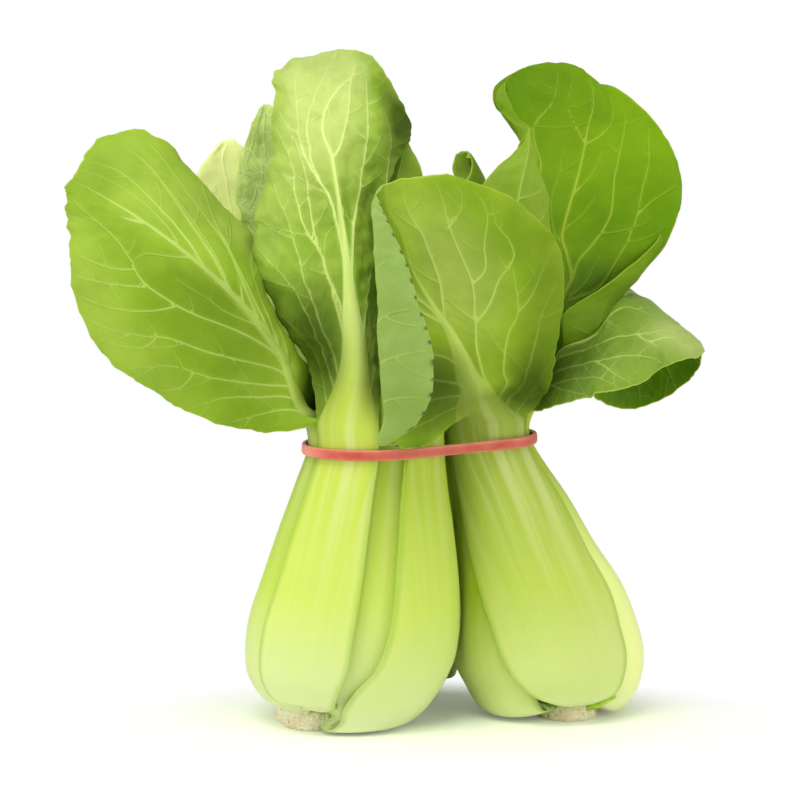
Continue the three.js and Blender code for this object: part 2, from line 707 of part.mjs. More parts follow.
const part = new THREE.Group();
part.name = "bok_choy";
part.add(bunch);

export default part;
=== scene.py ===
"""A standing bunch of baby bok choy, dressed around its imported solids.

Three heads lean together inside one red rubber band. Every leaf is one closed skin: a surface of
two parameters, `u` from the foot of the petiole to the tip of the blade and `v` from one edge to
the other, with a thickness, raised veins, blisters and a toothed edge worked out on its grid.
"""

import logging
import math
from dataclasses import dataclass, field
from enum import Enum
from typing import ClassVar

import bpy
import numpy as np
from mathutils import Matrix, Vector


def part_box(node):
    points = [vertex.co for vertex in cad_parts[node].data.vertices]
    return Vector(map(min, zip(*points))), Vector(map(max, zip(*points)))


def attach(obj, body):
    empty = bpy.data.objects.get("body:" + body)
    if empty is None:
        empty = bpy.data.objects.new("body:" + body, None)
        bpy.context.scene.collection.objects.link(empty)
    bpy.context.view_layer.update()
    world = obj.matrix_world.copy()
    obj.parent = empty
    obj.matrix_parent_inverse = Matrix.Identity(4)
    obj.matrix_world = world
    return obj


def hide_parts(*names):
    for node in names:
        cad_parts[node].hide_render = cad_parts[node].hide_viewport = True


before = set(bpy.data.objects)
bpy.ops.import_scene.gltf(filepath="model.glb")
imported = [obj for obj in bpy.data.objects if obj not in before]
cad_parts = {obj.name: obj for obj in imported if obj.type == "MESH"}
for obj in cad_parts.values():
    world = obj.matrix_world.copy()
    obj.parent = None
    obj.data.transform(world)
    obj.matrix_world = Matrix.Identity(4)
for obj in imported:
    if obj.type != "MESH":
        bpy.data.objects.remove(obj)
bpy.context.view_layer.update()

MM = 0.001
FOOT = 0.8  # lowest point of a leaf, in millimetres: only the cut stems touch the surface
LOG = logging.getLogger("bok_choy")

Colour = tuple[float, float, float]
Point = tuple[float, float, float]
Section = tuple[Point, ...]


class Face(Enum):
    """The two faces of a leaf."""

    OUTER = 0.0
    INNER = 1.0


def tint(red: int, green: int, blue: int) -> Colour:
    """Turn a screen colour into the linear colour that shaders use.

    Args:
        red: Red from 0 to 255.
        green: Green from 0 to 255.
        blue: Blue from 0 to 255.

    Returns:
        The linear red, green and blue.
    """
    return tuple(((c / 255 + 0.055) / 1.055) ** 2.4 for c in (red, green, blue))


def ease(low: float, high: float, value: np.ndarray) -> np.ndarray:
    """Smooth step from 0 at `low` to 1 at `high`: 3t^2 - 2t^3 with t clamped.

    Args:
        low: Value where the step starts.
        high: Value where the step ends.
        value: Values to map.

    Returns:
        The stepped values.
    """
    t = np.clip((value - low) / (high - low), 0, 1)
    return t * t * (3 - 2 * t)


def smooth_through(rows: np.ndarray, knots: np.ndarray, at: np.ndarray) -> np.ndarray:
    """Cubic Hermite curve that meets each row at its knot, with slopes across its two neighbours.

    Args:
        rows: Values to meet, one per knot along the first axis.
        knots: Rising parameter of each row.
        at: Parameters to work the curve out at.

    Returns:
        The values at `at`, along the first axis.
    """
    extra = (1,) * (rows.ndim - 1)
    gaps = np.diff(knots).reshape(-1, *extra)
    chords = np.diff(rows, axis=0) / gaps
    slopes = np.empty_like(rows)
    slopes[0], slopes[-1] = chords[0], chords[-1]
    if len(rows) > 2:
        slopes[1:-1] = (rows[2:] - rows[:-2]) / (knots[2:] - knots[:-2]).reshape(-1, *extra)
        slopes[0] = 1.5 * chords[0] - 0.5 * slopes[1]
        slopes[-1] = 1.5 * chords[-1] - 0.5 * slopes[-2]
    i = np.clip(np.searchsorted(knots, at, side="right") - 1, 0, len(knots) - 2)
    span = (knots[i + 1] - knots[i]).reshape(-1, *extra)
    f = (at - knots[i]).reshape(-1, *extra) / span
    return (
        rows[i] * (2 * f**3 - 3 * f**2 + 1)
        + slopes[i] * span * (f**3 - 2 * f**2 + f)
        + rows[i + 1] * (3 * f**2 - 2 * f**3)
        + slopes[i + 1] * span * (f**3 - f**2)
    )


def unit(vectors: np.ndarray) -> np.ndarray:
    """Scale vectors along the last axis to length one."""
    return vectors / np.maximum(np.linalg.norm(vectors, axis=-1, keepdims=True), 1e-9)


class Noise:
    """Smooth noise from -1 to 1: random values on a square lattice, eased between its points."""

    def __init__(self, seed: int, size: int = 64) -> None:
        """Draw the lattice.

        Args:
            seed: Seed of the random values.
            size: Points along each side of the lattice, which repeats.
        """
        self.size = size
        self.lattice = np.random.default_rng(seed).uniform(-1, 1, (size, size))

    def __call__(self, x: np.ndarray, y: np.ndarray) -> np.ndarray:
        """Noise at (x, y), with one lattice cell to each unit.

        Args:
            x: First coordinate.
            y: Second coordinate.

        Returns:
            The noise values.
        """
        x, y = np.broadcast_arrays(x, y)
        i, j = np.floor(x).astype(int), np.floor(y).astype(int)
        fx, fy = ease(0, 1, x - i), ease(0, 1, y - j)
        a = self.lattice[i % self.size, j % self.size]
        b = self.lattice[(i + 1) % self.size, j % self.size]
        c = self.lattice[i % self.size, (j + 1) % self.size]
        d = self.lattice[(i + 1) % self.size, (j + 1) % self.size]
        return (a * (1 - fx) + b * fx) * (1 - fy) + (c * (1 - fx) + d * fx) * fy


# ------------------------------------------------------------------ the bulbs of the heads


@dataclass(frozen=True)
class Level:
    """One level of a bulb, in millimetres: its height, its centre and its half-widths."""

    z: float
    centre: tuple[float, float]
    half: tuple[float, float]


@dataclass(frozen=True)
class Bulb:
    """The smooth body that a head's petioles lie on, level by level from the foot to the neck."""

    levels: tuple[Level, ...]

    def skin(self, level: np.ndarray, angle: np.ndarray) -> np.ndarray:
        """Points of the skin: an ellipse round the centre of each level.

        Args:
            level: Place between the levels, counted from 0.
            angle: Direction round the bulb in radians, of any shape (len(level), ...).

        Returns:
            Points of shape angle.shape + (3,), in millimetres.
        """
        knots = np.arange(len(self.levels), dtype=float)
        rows = np.array([[*item.centre, item.z, *item.half] for item in self.levels], float)
        at = smooth_through(rows, knots, level).reshape(len(level), *(1,) * (angle.ndim - 1), 5)
        x = at[..., 0] + at[..., 3] * np.cos(angle)
        y = at[..., 1] + at[..., 4] * np.sin(angle)
        return np.stack([x, y, np.broadcast_to(at[..., 2], x.shape)], axis=-1)

    def outward(self, level: np.ndarray, angle: np.ndarray) -> np.ndarray:
        """Unit normals of the skin: the turn round the bulb crossed with the climb up it.

        Args:
            level: Place between the levels, counted from 0.
            angle: Direction round the bulb in radians.

        Returns:
            Normals of shape angle.shape + (3,).
        """
        step = 0.02
        last = len(self.levels) - 1
        around = self.skin(level, angle + step) - self.skin(level, angle - step)
        up = self.skin(np.minimum(level + step, last), angle)
        up = up - self.skin(np.maximum(level - step, 0), angle)
        return unit(np.cross(around, up))

    @property
    def neck(self) -> Level:
        """The level that the rubber band holds."""
        return self.levels[-2]


LEFT_BULB = Bulb(
    (
        Level(0.8, (-16, 0), (8, 8)),
        Level(1.1, (-11, -2), (17.5, 20)),
        Level(3.5, (-9.5, -2), (19.8, 20.8)),
        Level(8, (-11, -2), (25, 23)),
        Level(14, (-11.1, -2.2), (28.4, 26)),
        Level(20, (-10.4, -2.5), (29.8, 27)),
        Level(30, (-9.3, -3.5), (29.8, 26.8)),
        Level(42, (-7.6, -5.5), (27.6, 24.5)),
        Level(56, (-6, -8), (24.5, 21)),
        Level(69, (-4.5, -10), (21.3, 18)),
        Level(80, (-3.1, -11), (19, 16.2)),
        Level(87, (-3.2, -11.5), (19.3, 16.4)),
    )
)
RIGHT_BULB = Bulb(
    (
        Level(0.8, (51, 13), (9.5, 9.5)),
        Level(1.4, (46.5, 9.5), (19.5, 18.5)),
        Level(3.4, (46.9, 10), (22.2, 20.6)),
        Level(8, (46.9, 10.3), (24.8, 22)),
        Level(13.5, (46.2, 10), (26.8, 23.8)),
        Level(20, (45.7, 9.5), (27.1, 24)),
        Level(28, (44.4, 8.5), (26.1, 23)),
        Level(38, (42.3, 7), (24.1, 21.3)),
        Level(50, (38.4, 5), (20.2, 18)),
        Level(63, (34.5, 2.5), (16.7, 15)),
        Level(80, (28.4, 0), (11.9, 11.9)),
        Level(87, (27.6, -1), (12.1, 12)),
    )
)
BACK_BULB = Bulb(
    (
        Level(0.8, (2, 50), (9.5, 9.5)),
        Level(2, (3, 48.5), (16.5, 14)),
        Level(4, (2, 48.2), (18.5, 16.5)),
        Level(8, (0.5, 48), (21, 18)),
        Level(13.5, (-1, 47.5), (22.5, 19.8)),
        Level(20, (-2, 46.7), (22.8, 20.3)),
        Level(28, (-1.4, 44.8), (22.3, 19.8)),
        Level(40, (0.5, 40), (19.5, 17.5)),
        Level(55, (3.5, 33), (15.5, 14.5)),
        Level(68, (6, 26.5), (12.9, 12.2)),
        Level(80, (8, 21), (11.3, 11)),
        Level(87, (8.5, 19), (11.6, 11.3)),
    )
)


# ------------------------------------------------------------------ shader parts


class Sockets(Enum):
    """Kinds of node group socket."""

    VALUE = "NodeSocketFloat"
    VECTOR = "NodeSocketVector"


class Tree:
    """Short ways to add and join shader nodes in one node tree."""

    def __init__(self, tree: bpy.types.NodeTree) -> None:
        """Keep the tree.

        Args:
            tree: Node tree of a material, a world or a node group.
        """
        self.tree = tree

    def add(self, kind: str, **settings: object) -> bpy.types.Node:
        """Add a node and set its properties.

        Args:
            kind: Blender's type name without the ShaderNode prefix.
            **settings: Properties of the node.

        Returns:
            The new node.
        """
        name = kind if kind.startswith("Node") else "ShaderNode" + kind
        node = self.tree.nodes.new(name)
        for key, value in settings.items():
            setattr(node, key, value)
        return node

    def feed(self, socket: bpy.types.NodeSocket, source: object) -> None:
        """Join a source to a socket, or set the socket where the source is a plain value.

        Args:
            socket: The input to feed.
            source: An output socket, a number or a colour.
        """
        if isinstance(source, bpy.types.NodeSocket):
            self.tree.links.new(source, socket)
        elif isinstance(source, tuple) and len(source) == 3 and socket.type == "RGBA":
            socket.default_value = (*source, 1)
        else:
            socket.default_value = source

    def maths(self, operation: str, *sources: object, clamp: bool = False) -> bpy.types.NodeSocket:
        """A Math node.

        Args:
            operation: Name of the operation.
            *sources: Its inputs, sockets or numbers.
            clamp: Whether the result is held from 0 to 1.

        Returns:
            Its output.
        """
        node = self.add("Math", operation=operation, use_clamp=clamp)
        for socket, source in zip(node.inputs, sources):
            self.feed(socket, source)
        return node.outputs[0]

    def step(
        self, value: object, low: float, high: float, start: float = 0.0, end: float = 1.0
    ) -> bpy.types.NodeSocket:
        """A smooth Map Range from `low`, `high` to `start`, `end`.

        Args:
            value: The socket to map.
            low: Value that gives `start`.
            high: Value that gives `end`.
            start: First result.
            end: Last result.

        Returns:
            The mapped value.
        """
        node = self.add("MapRange", interpolation_type="SMOOTHSTEP")
        for socket, source in zip(node.inputs, (value, low, high, start, end)):
            self.feed(socket, source)
        return node.outputs[0]

    def blend(self, share: object, first: object, second: object, mode: str = "MIX") -> object:
        """A colour mix.

        Args:
            share: How much of the second colour.
            first: First colour.
            second: Second colour.
            mode: Blend type.

        Returns:
            The mixed colour.
        """
        node = self.add("Mix", data_type="RGBA", blend_type=mode)
        self.feed(node.inputs[0], share)
        self.feed(node.inputs[6], first)
        self.feed(node.inputs[7], second)
        return node.outputs[2]

    def attribute(self, name: str) -> bpy.types.NodeSocket:
        """The value of one of the mesh's attributes."""
        return self.add("Attribute", attribute_name=name).outputs["Fac"]

    def noise(
        self, place: object, scale: object, detail: float = 2.0, dimensions: str = "3D"
    ) -> bpy.types.NodeOutputs:
        """A noise texture.

        Args:
            place: Where on the piece it is read.
            scale: How many waves it has to a unit of that.
            detail: How many finer waves are added.
            dimensions: "2D" or "3D".

        Returns:
            Its outputs.
        """
        node = self.add("TexNoise", noise_dimensions=dimensions)
        for label, source in (("Vector", place), ("Scale", scale), ("Detail", detail)):
            self.feed(node.inputs[label], source)
        return node.outputs

    def bump(self, height: object, strength: float, distance: float) -> bpy.types.NodeSocket:
        """Normals that a height bends.

        Args:
            height: The height.
            strength: How much it counts, from 0 to 1.
            distance: How far a height of 1 stands out, in millimetres.

        Returns:
            The normal.
        """
        node = self.add("Bump")
        node.inputs["Strength"].default_value = strength
        node.inputs["Distance"].default_value = distance * MM
        self.feed(node.inputs["Height"], height)
        return node.outputs[0]


def fresh_material(name: str) -> tuple[bpy.types.Material, Tree, bpy.types.Node]:
    """Start a material.

    Args:
        name: Its name.

    Returns:
        The material, its tree and its Principled shader.
    """
    material = bpy.data.materials.new(name)
    material.use_nodes = True
    tree = material.node_tree
    return material, Tree(tree), tree.nodes["Principled BSDF"]


class NodeGroup:
    """A node group that several finishes share."""

    def __init__(
        self, name: str, inputs: dict[str, Sockets], outputs: dict[str, Sockets]
    ) -> None:
        """Make an empty group with its sockets.

        Args:
            name: Name of the group.
            inputs: Names and kinds of its inputs.
            outputs: Names and kinds of its outputs.
        """
        self.tree = bpy.data.node_groups.new(name, "ShaderNodeTree")
        for label, kind in inputs.items():
            self.tree.interface.new_socket(label, in_out="INPUT", socket_type=kind.value)
        for label, kind in outputs.items():
            self.tree.interface.new_socket(label, in_out="OUTPUT", socket_type=kind.value)
        self.nodes = Tree(self.tree)
        self.source = self.nodes.add("NodeGroupInput").outputs
        self.target = self.nodes.add("NodeGroupOutput").inputs

    def place(self, nodes: Tree, **sources: object) -> bpy.types.NodeOutputs:
        """Use the group in a material.

        Args:
            nodes: Tree of the material.
            **sources: What feeds each input, by name with _ for a space.

        Returns:
            The outputs of the placed group.
        """
        node = nodes.add("Group", node_tree=self.tree)
        for label, source in sources.items():
            nodes.feed(node.inputs[label.replace("_", " ")], source)
        return node.outputs


def fine_net_group() -> NodeGroup:
    """The fine net of small veins: edges of two sizes of warped cells, 1 on a vein.

    Returns:
        A group from surface coordinates in centimetres to a mask and a cell shade.
    """
    group = NodeGroup(
        "fine_vein_net",
        {"Place": Sockets.VECTOR, "Cells": Sockets.VALUE},
        {"Mask": Sockets.VALUE, "Shade": Sockets.VALUE},
    )
    nodes = group.nodes
    warp = nodes.noise(group.source["Place"], 1.6, dimensions="2D")
    offset = nodes.add("VectorMath", operation="SCALE")
    nodes.feed(offset.inputs[0], warp["Color"])
    nodes.feed(offset.inputs["Scale"], 0.35)
    place = nodes.add("VectorMath", operation="ADD")
    nodes.feed(place.inputs[0], group.source["Place"])
    nodes.feed(place.inputs[1], offset.outputs[0])
    masks = []
    for factor, width in ((1.0, 0.045), (2.6, 0.06)):
        cells = nodes.add("TexVoronoi", voronoi_dimensions="2D", feature="DISTANCE_TO_EDGE")
        nodes.feed(cells.inputs["Vector"], place.outputs[0])
        nodes.feed(cells.inputs["Scale"], nodes.maths("MULTIPLY", group.source["Cells"], factor))
        masks.append(nodes.step(cells.outputs["Distance"], 0.0, width, 1.0, 0.0))
    small = nodes.maths("MULTIPLY", masks[1], 0.45)
    nodes.feed(group.target["Mask"], nodes.maths("MAXIMUM", masks[0], small))
    shade = nodes.add("TexVoronoi", voronoi_dimensions="2D", feature="SMOOTH_F1")
    nodes.feed(shade.inputs["Vector"], place.outputs[0])
    nodes.feed(shade.inputs["Scale"], group.source["Cells"])
    nodes.feed(group.target["Shade"], shade.outputs["Distance"])
    return group


def mottle_group() -> NodeGroup:
    """Slow unevenness of a living skin: two sizes of noise, from 0 to 1.

    Returns:
        A group from a place and a scale to a value.
    """
    group = NodeGroup(
        "skin_mottle",
        {"Place": Sockets.VECTOR, "Scale": Sockets.VALUE},
        {"Value": Sockets.VALUE},
    )
    nodes = group.nodes
    noise = nodes.noise(group.source["Place"], group.source["Scale"], 3.0)
    nodes.feed(group.target["Value"], nodes.step(noise["Fac"], 0.3, 0.7))
    return group


def specks_group() -> NodeGroup:
    """Sparse small round specks, 1 inside a speck.

    Returns:
        A group from a place, a scale and a size to a mask.
    """
    group = NodeGroup(
        "sparse_specks",
        {"Place": Sockets.VECTOR, "Scale": Sockets.VALUE, "Size": Sockets.VALUE},
        {"Mask": Sockets.VALUE},
    )
    nodes = group.nodes
    cells = nodes.add("TexVoronoi", voronoi_dimensions="3D", feature="F1")
    nodes.feed(cells.inputs["Vector"], group.source["Place"])
    nodes.feed(cells.inputs["Scale"], group.source["Scale"])
    inside = nodes.maths("LESS_THAN", cells.outputs["Distance"], group.source["Size"])
    chosen = nodes.add("SeparateColor")
    nodes.feed(chosen.inputs[0], cells.outputs["Color"])
    rare = nodes.maths("GREATER_THAN", chosen.outputs[0], 0.55)
    nodes.feed(group.target["Mask"], nodes.maths("MULTIPLY", inside, rare))
    return group


class Groups:
    """The node groups, each built once."""

    def __init__(self) -> None:
        """Build them."""
        self.net = fine_net_group()
        self.mottle = mottle_group()
        self.specks = specks_group()


# ------------------------------------------------------------------ finishes


@dataclass(frozen=True)
class LeafFinish:
    """Colours of one leaf, from its petiole to the two faces of its blade.

    The numbers say how plain the net, veins, rim and pale bundles are, how many cells the net has
    to a centimetre, how far the cells bulge and how glossy the skin is.
    """

    outer: Colour = tint(124, 156, 40)
    outer_light: Colour = tint(150, 178, 62)
    inner: Colour = tint(112, 148, 20)
    inner_light: Colour = tint(138, 170, 38)
    vein: Colour = tint(190, 208, 110)
    foot: Colour = tint(228, 234, 196)
    belly: Colour = tint(224, 233, 176)
    waist: Colour = tint(208, 226, 106)
    neck: Colour = tint(182, 202, 70)
    margin: Colour = tint(206, 218, 96)
    # colours of painted light, screened in, and painted shade, multiplied in, where a blade's
    # patches ask for them
    painted_light: Colour = tint(120, 120, 80)
    painted_shade: Colour = tint(168, 178, 140)
    net: float = 0.12
    cells: float = 1.5
    vein_strength: float = 0.85
    rim: float = 0.5
    margin_dots: bool = False
    crinkle: float = 1.0
    bundles: float = 0.3
    gloss: float = 0.46


class LeafDress:
    """The material of one leaf: a pale petiole that turns into green lamina with veins.

    The mesh says where on the leaf a point is. `grow` runs from 0 at the foot over 1 at the neck
    to 2 at the tip, and `face` is 0 outside and 1 inside. In millimetres, `rib` and `vein` are how
    far it is outside the midrib and the nearest vein, `aside` how far from that vein's middle
    line, `girth` that vein's half-width and `edge` how far the margin is. An attribute of painted
    light and shade lightens and darkens it, and `dots` is 1 in the small dark dots of a margin.
    """

    PETIOLE_STOPS: ClassVar[tuple[float, ...]] = (0.1, 0.26, 0.42, 0.54)
    FIBRES: ClassVar[Point] = (0.16, 5.5, 1.0)
    BUNDLES: ClassVar[Point] = (0.07, 2.3, 1.0)
    BUNDLE_COLOUR: ClassVar[Colour] = tint(222, 228, 164)
    EDGE_COLOUR: ClassVar[Colour] = tint(150, 184, 62)
    # painted shade, multiplied in towards the edges of the blistered cells
    CELL_SHADE: ClassVar[Colour] = (0.82, 0.9, 0.6)
    DOT_COLOUR: ClassVar[Colour] = tint(74, 52, 62)
    SPECK_COLOUR: ClassVar[Colour] = tint(120, 100, 50)

    def __init__(self, name: str, finish: LeafFinish, groups: Groups) -> None:
        """Start the material and read what the mesh says.

        Args:
            name: Name of the material.
            finish: The leaf's colours.
            groups: The shared node groups.
        """
        self.finish = finish
        self.material, self.nodes, self.shader = fresh_material(name)
        nodes = self.nodes
        self.place = nodes.add("UVMap", uv_map="leaf").outputs[0]
        spot = nodes.add("TexCoord").outputs["Object"]
        self.grow, self.edge = nodes.attribute("grow"), nodes.attribute("edge")
        self.girth, self.vein = nodes.attribute("girth"), nodes.attribute("vein")
        self.mottle = groups.mottle.place(nodes, Place=spot, Scale=55.0)["Value"]
        self.specks = groups.specks.place(nodes, Place=spot, Scale=140.0, Size=0.028)["Mask"]
        self.net = groups.net.place(nodes, Place=self.place, Cells=finish.cells)
        self.streak = nodes.step(self.fibres(self.FIBRES), 0.35, 0.72)
        self.is_lamina = nodes.step(nodes.attribute("rib"), -0.5, 0.5)
        aside = nodes.maths("ABSOLUTE", nodes.attribute("aside"))
        self.gap = nodes.maths("SUBTRACT", aside, self.girth)
        self.near = nodes.step(self.vein, 0.25, 0.45, 1.0, 0.0)

    def fibres(self, scale: Point) -> bpy.types.NodeSocket:
        """Noise drawn out along the leaf, with `scale` waves along and across."""
        stretch = self.nodes.add("Mapping", vector_type="POINT")
        self.nodes.feed(stretch.inputs["Vector"], self.place)
        stretch.inputs["Scale"].default_value = scale
        return self.nodes.noise(stretch.outputs[0], 1.0, 4.0, "2D")["Fac"]

    def petiole(self) -> bpy.types.NodeSocket:
        """Colour of the petiole: a ramp from foot to neck, with green and pale fibres.

        Returns:
            The colour.
        """
        nodes, finish = self.nodes, self.finish
        ramp = nodes.add("ValToRGB")
        nodes.feed(ramp.inputs[0], nodes.maths("MULTIPLY", self.grow, 0.5))
        stops = ramp.color_ramp.elements
        stops[0].position, stops[0].color = 0.0, (*finish.foot, 1)
        stops[1].position, stops[1].color = 0.64, (*finish.vein, 1)
        colours = (finish.belly, finish.waist, finish.neck, finish.neck)
        for position, colour in zip(self.PETIOLE_STOPS, colours):
            stops.new(position).color = (*colour, 1)
        green = nodes.blend(0.5, ramp.outputs[0], finish.neck, "MULTIPLY")
        share = nodes.maths("MULTIPLY", self.streak, nodes.step(self.grow, 0.15, 1.1, 0.04, 0.2))
        colour = nodes.blend(share, ramp.outputs[0], green)
        bundle = nodes.step(self.fibres(self.BUNDLES), 0.46, 0.72)
        rising = nodes.step(self.grow, 0.3, 1.1, 0.04, finish.bundles)
        colour = nodes.blend(nodes.maths("MULTIPLY", bundle, rising), colour, self.BUNDLE_COLOUR)
        return nodes.blend(nodes.step(self.edge, 0.0, 2.4, 0.55, 0.0), colour, self.EDGE_COLOUR)

    def lamina(self) -> bpy.types.NodeSocket:
        """Colour of the lamina: two faces, the fine net, the veins in their halos, the margin.

        Returns:
            The colour.
        """
        nodes, finish, girth = self.nodes, self.finish, self.girth
        outer = nodes.blend(self.mottle, finish.outer, finish.outer_light)
        inner = nodes.blend(self.mottle, finish.inner, finish.inner_light)
        colour = nodes.blend(nodes.attribute("face"), outer, inner)
        # painted shade in the dips towards each cell's edge, where the cells bulge less
        shade = nodes.step(self.net["Shade"], 0.1, 0.8, 0.0, 0.28)
        colour = nodes.blend(shade, colour, nodes.blend(1.0, colour, self.CELL_SHADE, "MULTIPLY"))
        fine = nodes.maths("MULTIPLY", self.net["Mask"], finish.net)
        halo = nodes.maths("MULTIPLY", nodes.step(self.vein, 0.0, 1.1, 0.5, 0.0), girth)
        line = nodes.maths("MULTIPLY", nodes.step(self.gap, -0.1, 0.14, 1.0, 0.0), self.near)
        strength = nodes.step(girth, 0.02, 0.26, 0.16, finish.vein_strength)
        for share in (fine, halo, nodes.maths("MULTIPLY", line, strength)):
            colour = nodes.blend(share, colour, finish.vein)
        rim = nodes.step(self.edge, 0.05, 0.4, finish.rim, 0.0)
        colour = nodes.blend(rim, colour, finish.margin)
        if finish.margin_dots:
            colour = nodes.blend(nodes.attribute("dots"), colour, self.DOT_COLOUR)
        return colour

    def with_painted_shading(self, colour: bpy.types.NodeSocket) -> bpy.types.NodeSocket:
        """Paint the leaf's painted light and shade into a colour, and add its specks.

        Args:
            colour: The colour.

        Returns:
            The colour with its painted light and shade.
        """
        nodes, painted_shading = self.nodes, self.nodes.attribute("painted_shading")
        # painted light screened in where the patches are above 0, painted shade multiplied in where
        # they are below 0
        light = nodes.blend(1.0, colour, self.finish.painted_light, "SCREEN")
        colour = nodes.blend(nodes.maths("MAXIMUM", painted_shading, 0.0, clamp=True), colour, light)
        painted_shade = nodes.blend(1.0, colour, self.finish.painted_shade, "MULTIPLY")
        colour = nodes.blend(nodes.maths("MULTIPLY", painted_shading, -1.0, clamp=True), colour, painted_shade)
        return nodes.blend(nodes.maths("MULTIPLY", self.specks, 0.35), colour, self.SPECK_COLOUR)

    def relief(self) -> bpy.types.NodeSocket:
        """Height of the fine relief: fibres, the net, and on the lamina veins and crinkles.

        Returns:
            The height.
        """
        nodes = self.nodes
        share = nodes.maths("MULTIPLY", self.is_lamina, 0.5)
        fine = nodes.maths("MULTIPLY", self.net["Mask"], share)
        height = nodes.maths("ADD", fine, nodes.maths("MULTIPLY", self.streak, 0.12))
        ridge = nodes.maths("MULTIPLY", nodes.step(self.gap, -0.1, 0.5, 2.4, 0.0), self.near)
        bulge = nodes.step(self.net["Shade"], 0.0, 0.8, 1.0, 0.0)
        ridge = nodes.maths("ADD", ridge, nodes.maths("MULTIPLY", bulge, self.finish.crinkle))
        return nodes.maths("ADD", height, nodes.maths("MULTIPLY", ridge, self.is_lamina))

    def build(self) -> bpy.types.Material:
        """Join the parts in the shader.

        Returns:
            The material.
        """
        nodes, shader = self.nodes, self.shader
        colour = nodes.blend(self.is_lamina, self.petiole(), self.lamina())
        nodes.feed(shader.inputs["Base Color"], self.with_painted_shading(colour))
        nodes.feed(shader.inputs["Normal"], nodes.bump(self.relief(), 0.5, 0.13))
        rough = nodes.step(self.mottle, 0.0, 1.0, self.finish.gloss, 0.56)
        nodes.feed(shader.inputs["Roughness"], rough)
        shader.inputs["Subsurface Weight"].default_value = 0.3
        shader.inputs["Subsurface Radius"].default_value = (0.9, 1.0, 0.3)
        shader.inputs["Subsurface Scale"].default_value = 1.4 * MM
        shader.inputs["Specular IOR Level"].default_value = 0.12
        return self.material


@dataclass(frozen=True)
class CutFinish:
    """The cut, fibrous end of a head: pale pith with brown specks and drier patches."""

    pith: Colour = tint(250, 244, 212)
    dry: Colour = tint(228, 208, 164)
    speck: Colour = tint(116, 84, 50)

    def material(self, groups: Groups) -> bpy.types.Material:
        """Make the material.

        Args:
            groups: The shared node groups.

        Returns:
            The material.
        """
        material, nodes, shader = fresh_material("cut_stem")
        spot = nodes.add("TexCoord").outputs["Object"]
        broad = groups.mottle.place(nodes, Place=spot, Scale=190.0)["Value"]
        colour = nodes.blend(nodes.maths("MULTIPLY", broad, 0.6), self.pith, self.dry)
        specks = groups.specks.place(nodes, Place=spot, Scale=420.0, Size=0.2)["Mask"]
        colour = nodes.blend(nodes.maths("MULTIPLY", specks, 0.45), colour, self.speck)
        nodes.feed(shader.inputs["Base Color"], colour)
        fibre = nodes.noise(spot, 900.0)["Fac"]
        nodes.feed(shader.inputs["Normal"], nodes.bump(fibre, 0.6, 0.25))
        shader.inputs["Roughness"].default_value = 0.8
        shader.inputs["Subsurface Weight"].default_value = 0.2
        shader.inputs["Subsurface Scale"].default_value = 1.5 * MM
        return material


@dataclass(frozen=True)
class RubberFinish:
    """Soft red rubber, a little see-through, with painted highlights on its rims and left end."""

    red: Colour = tint(196, 70, 50)
    # colour of the painted highlights
    pale: Colour = tint(238, 156, 138)

    def material(self, groups: Groups) -> bpy.types.Material:
        """Make the material.

        Args:
            groups: The shared node groups.

        Returns:
            The material.
        """
        material, nodes, shader = fresh_material("red_rubber")
        spot = nodes.add("TexCoord").outputs["Object"]
        mottle = groups.mottle.place(nodes, Place=spot, Scale=160.0)["Value"]
        # painted highlight along the band's top and bottom rims, over uneven paleness
        painted_rim_highlight = nodes.attribute("painted_rim_highlight")
        share = nodes.maths("MULTIPLY_ADD", mottle, 0.25, nodes.maths("MULTIPLY", painted_rim_highlight, 0.6))
        along = nodes.add("SeparateXYZ")
        nodes.feed(along.inputs[0], spot)
        # painted highlight at the band's left end
        painted_end_highlight = nodes.step(along.outputs["X"], -0.026, -0.014, 0.9, 0.0)
        share = nodes.maths("MAXIMUM", share, painted_end_highlight)
        nodes.feed(shader.inputs["Base Color"], nodes.blend(share, self.red, self.pale))
        grain = nodes.noise(spot, 1500.0)["Fac"]
        nodes.feed(shader.inputs["Normal"], nodes.bump(grain, 0.2, 0.1))
        shader.inputs["Roughness"].default_value = 0.42
        shader.inputs["Subsurface Weight"].default_value = 0.4
        shader.inputs["Subsurface Radius"].default_value = (1.0, 0.3, 0.2)
        shader.inputs["Subsurface Scale"].default_value = 1.2 * MM
        return material


# ------------------------------------------------------------------ meshes


def closed_skin(outer: np.ndarray, inner: np.ndarray) -> tuple[np.ndarray, np.ndarray]:
    """Vertices and quads of a closed skin between two grids, joined round their edges.

    Args:
        outer: Outward face, an array (rows, columns, 3).
        inner: Inward face of the same shape.

    Returns:
        Vertices and the corner numbers of the quads.
    """
    rows, columns = outer.shape[:2]
    count = rows * columns
    index = np.arange(count).reshape(rows, columns)
    quads = np.stack([index[:-1, :-1], index[:-1, 1:], index[1:, 1:], index[1:, :-1]], axis=-1)
    quads = quads.reshape(-1, 4)
    rim = np.concatenate([index[0, :-1], index[:-1, -1], index[-1, :0:-1], index[:0:-1, 0]])
    after = np.roll(rim, -1)
    wall = np.stack([after, rim, rim + count, after + count], axis=-1)
    faces = np.concatenate([quads, quads[:, ::-1] + count, wall])
    return np.concatenate([outer.reshape(-1, 3), inner.reshape(-1, 3)]), faces


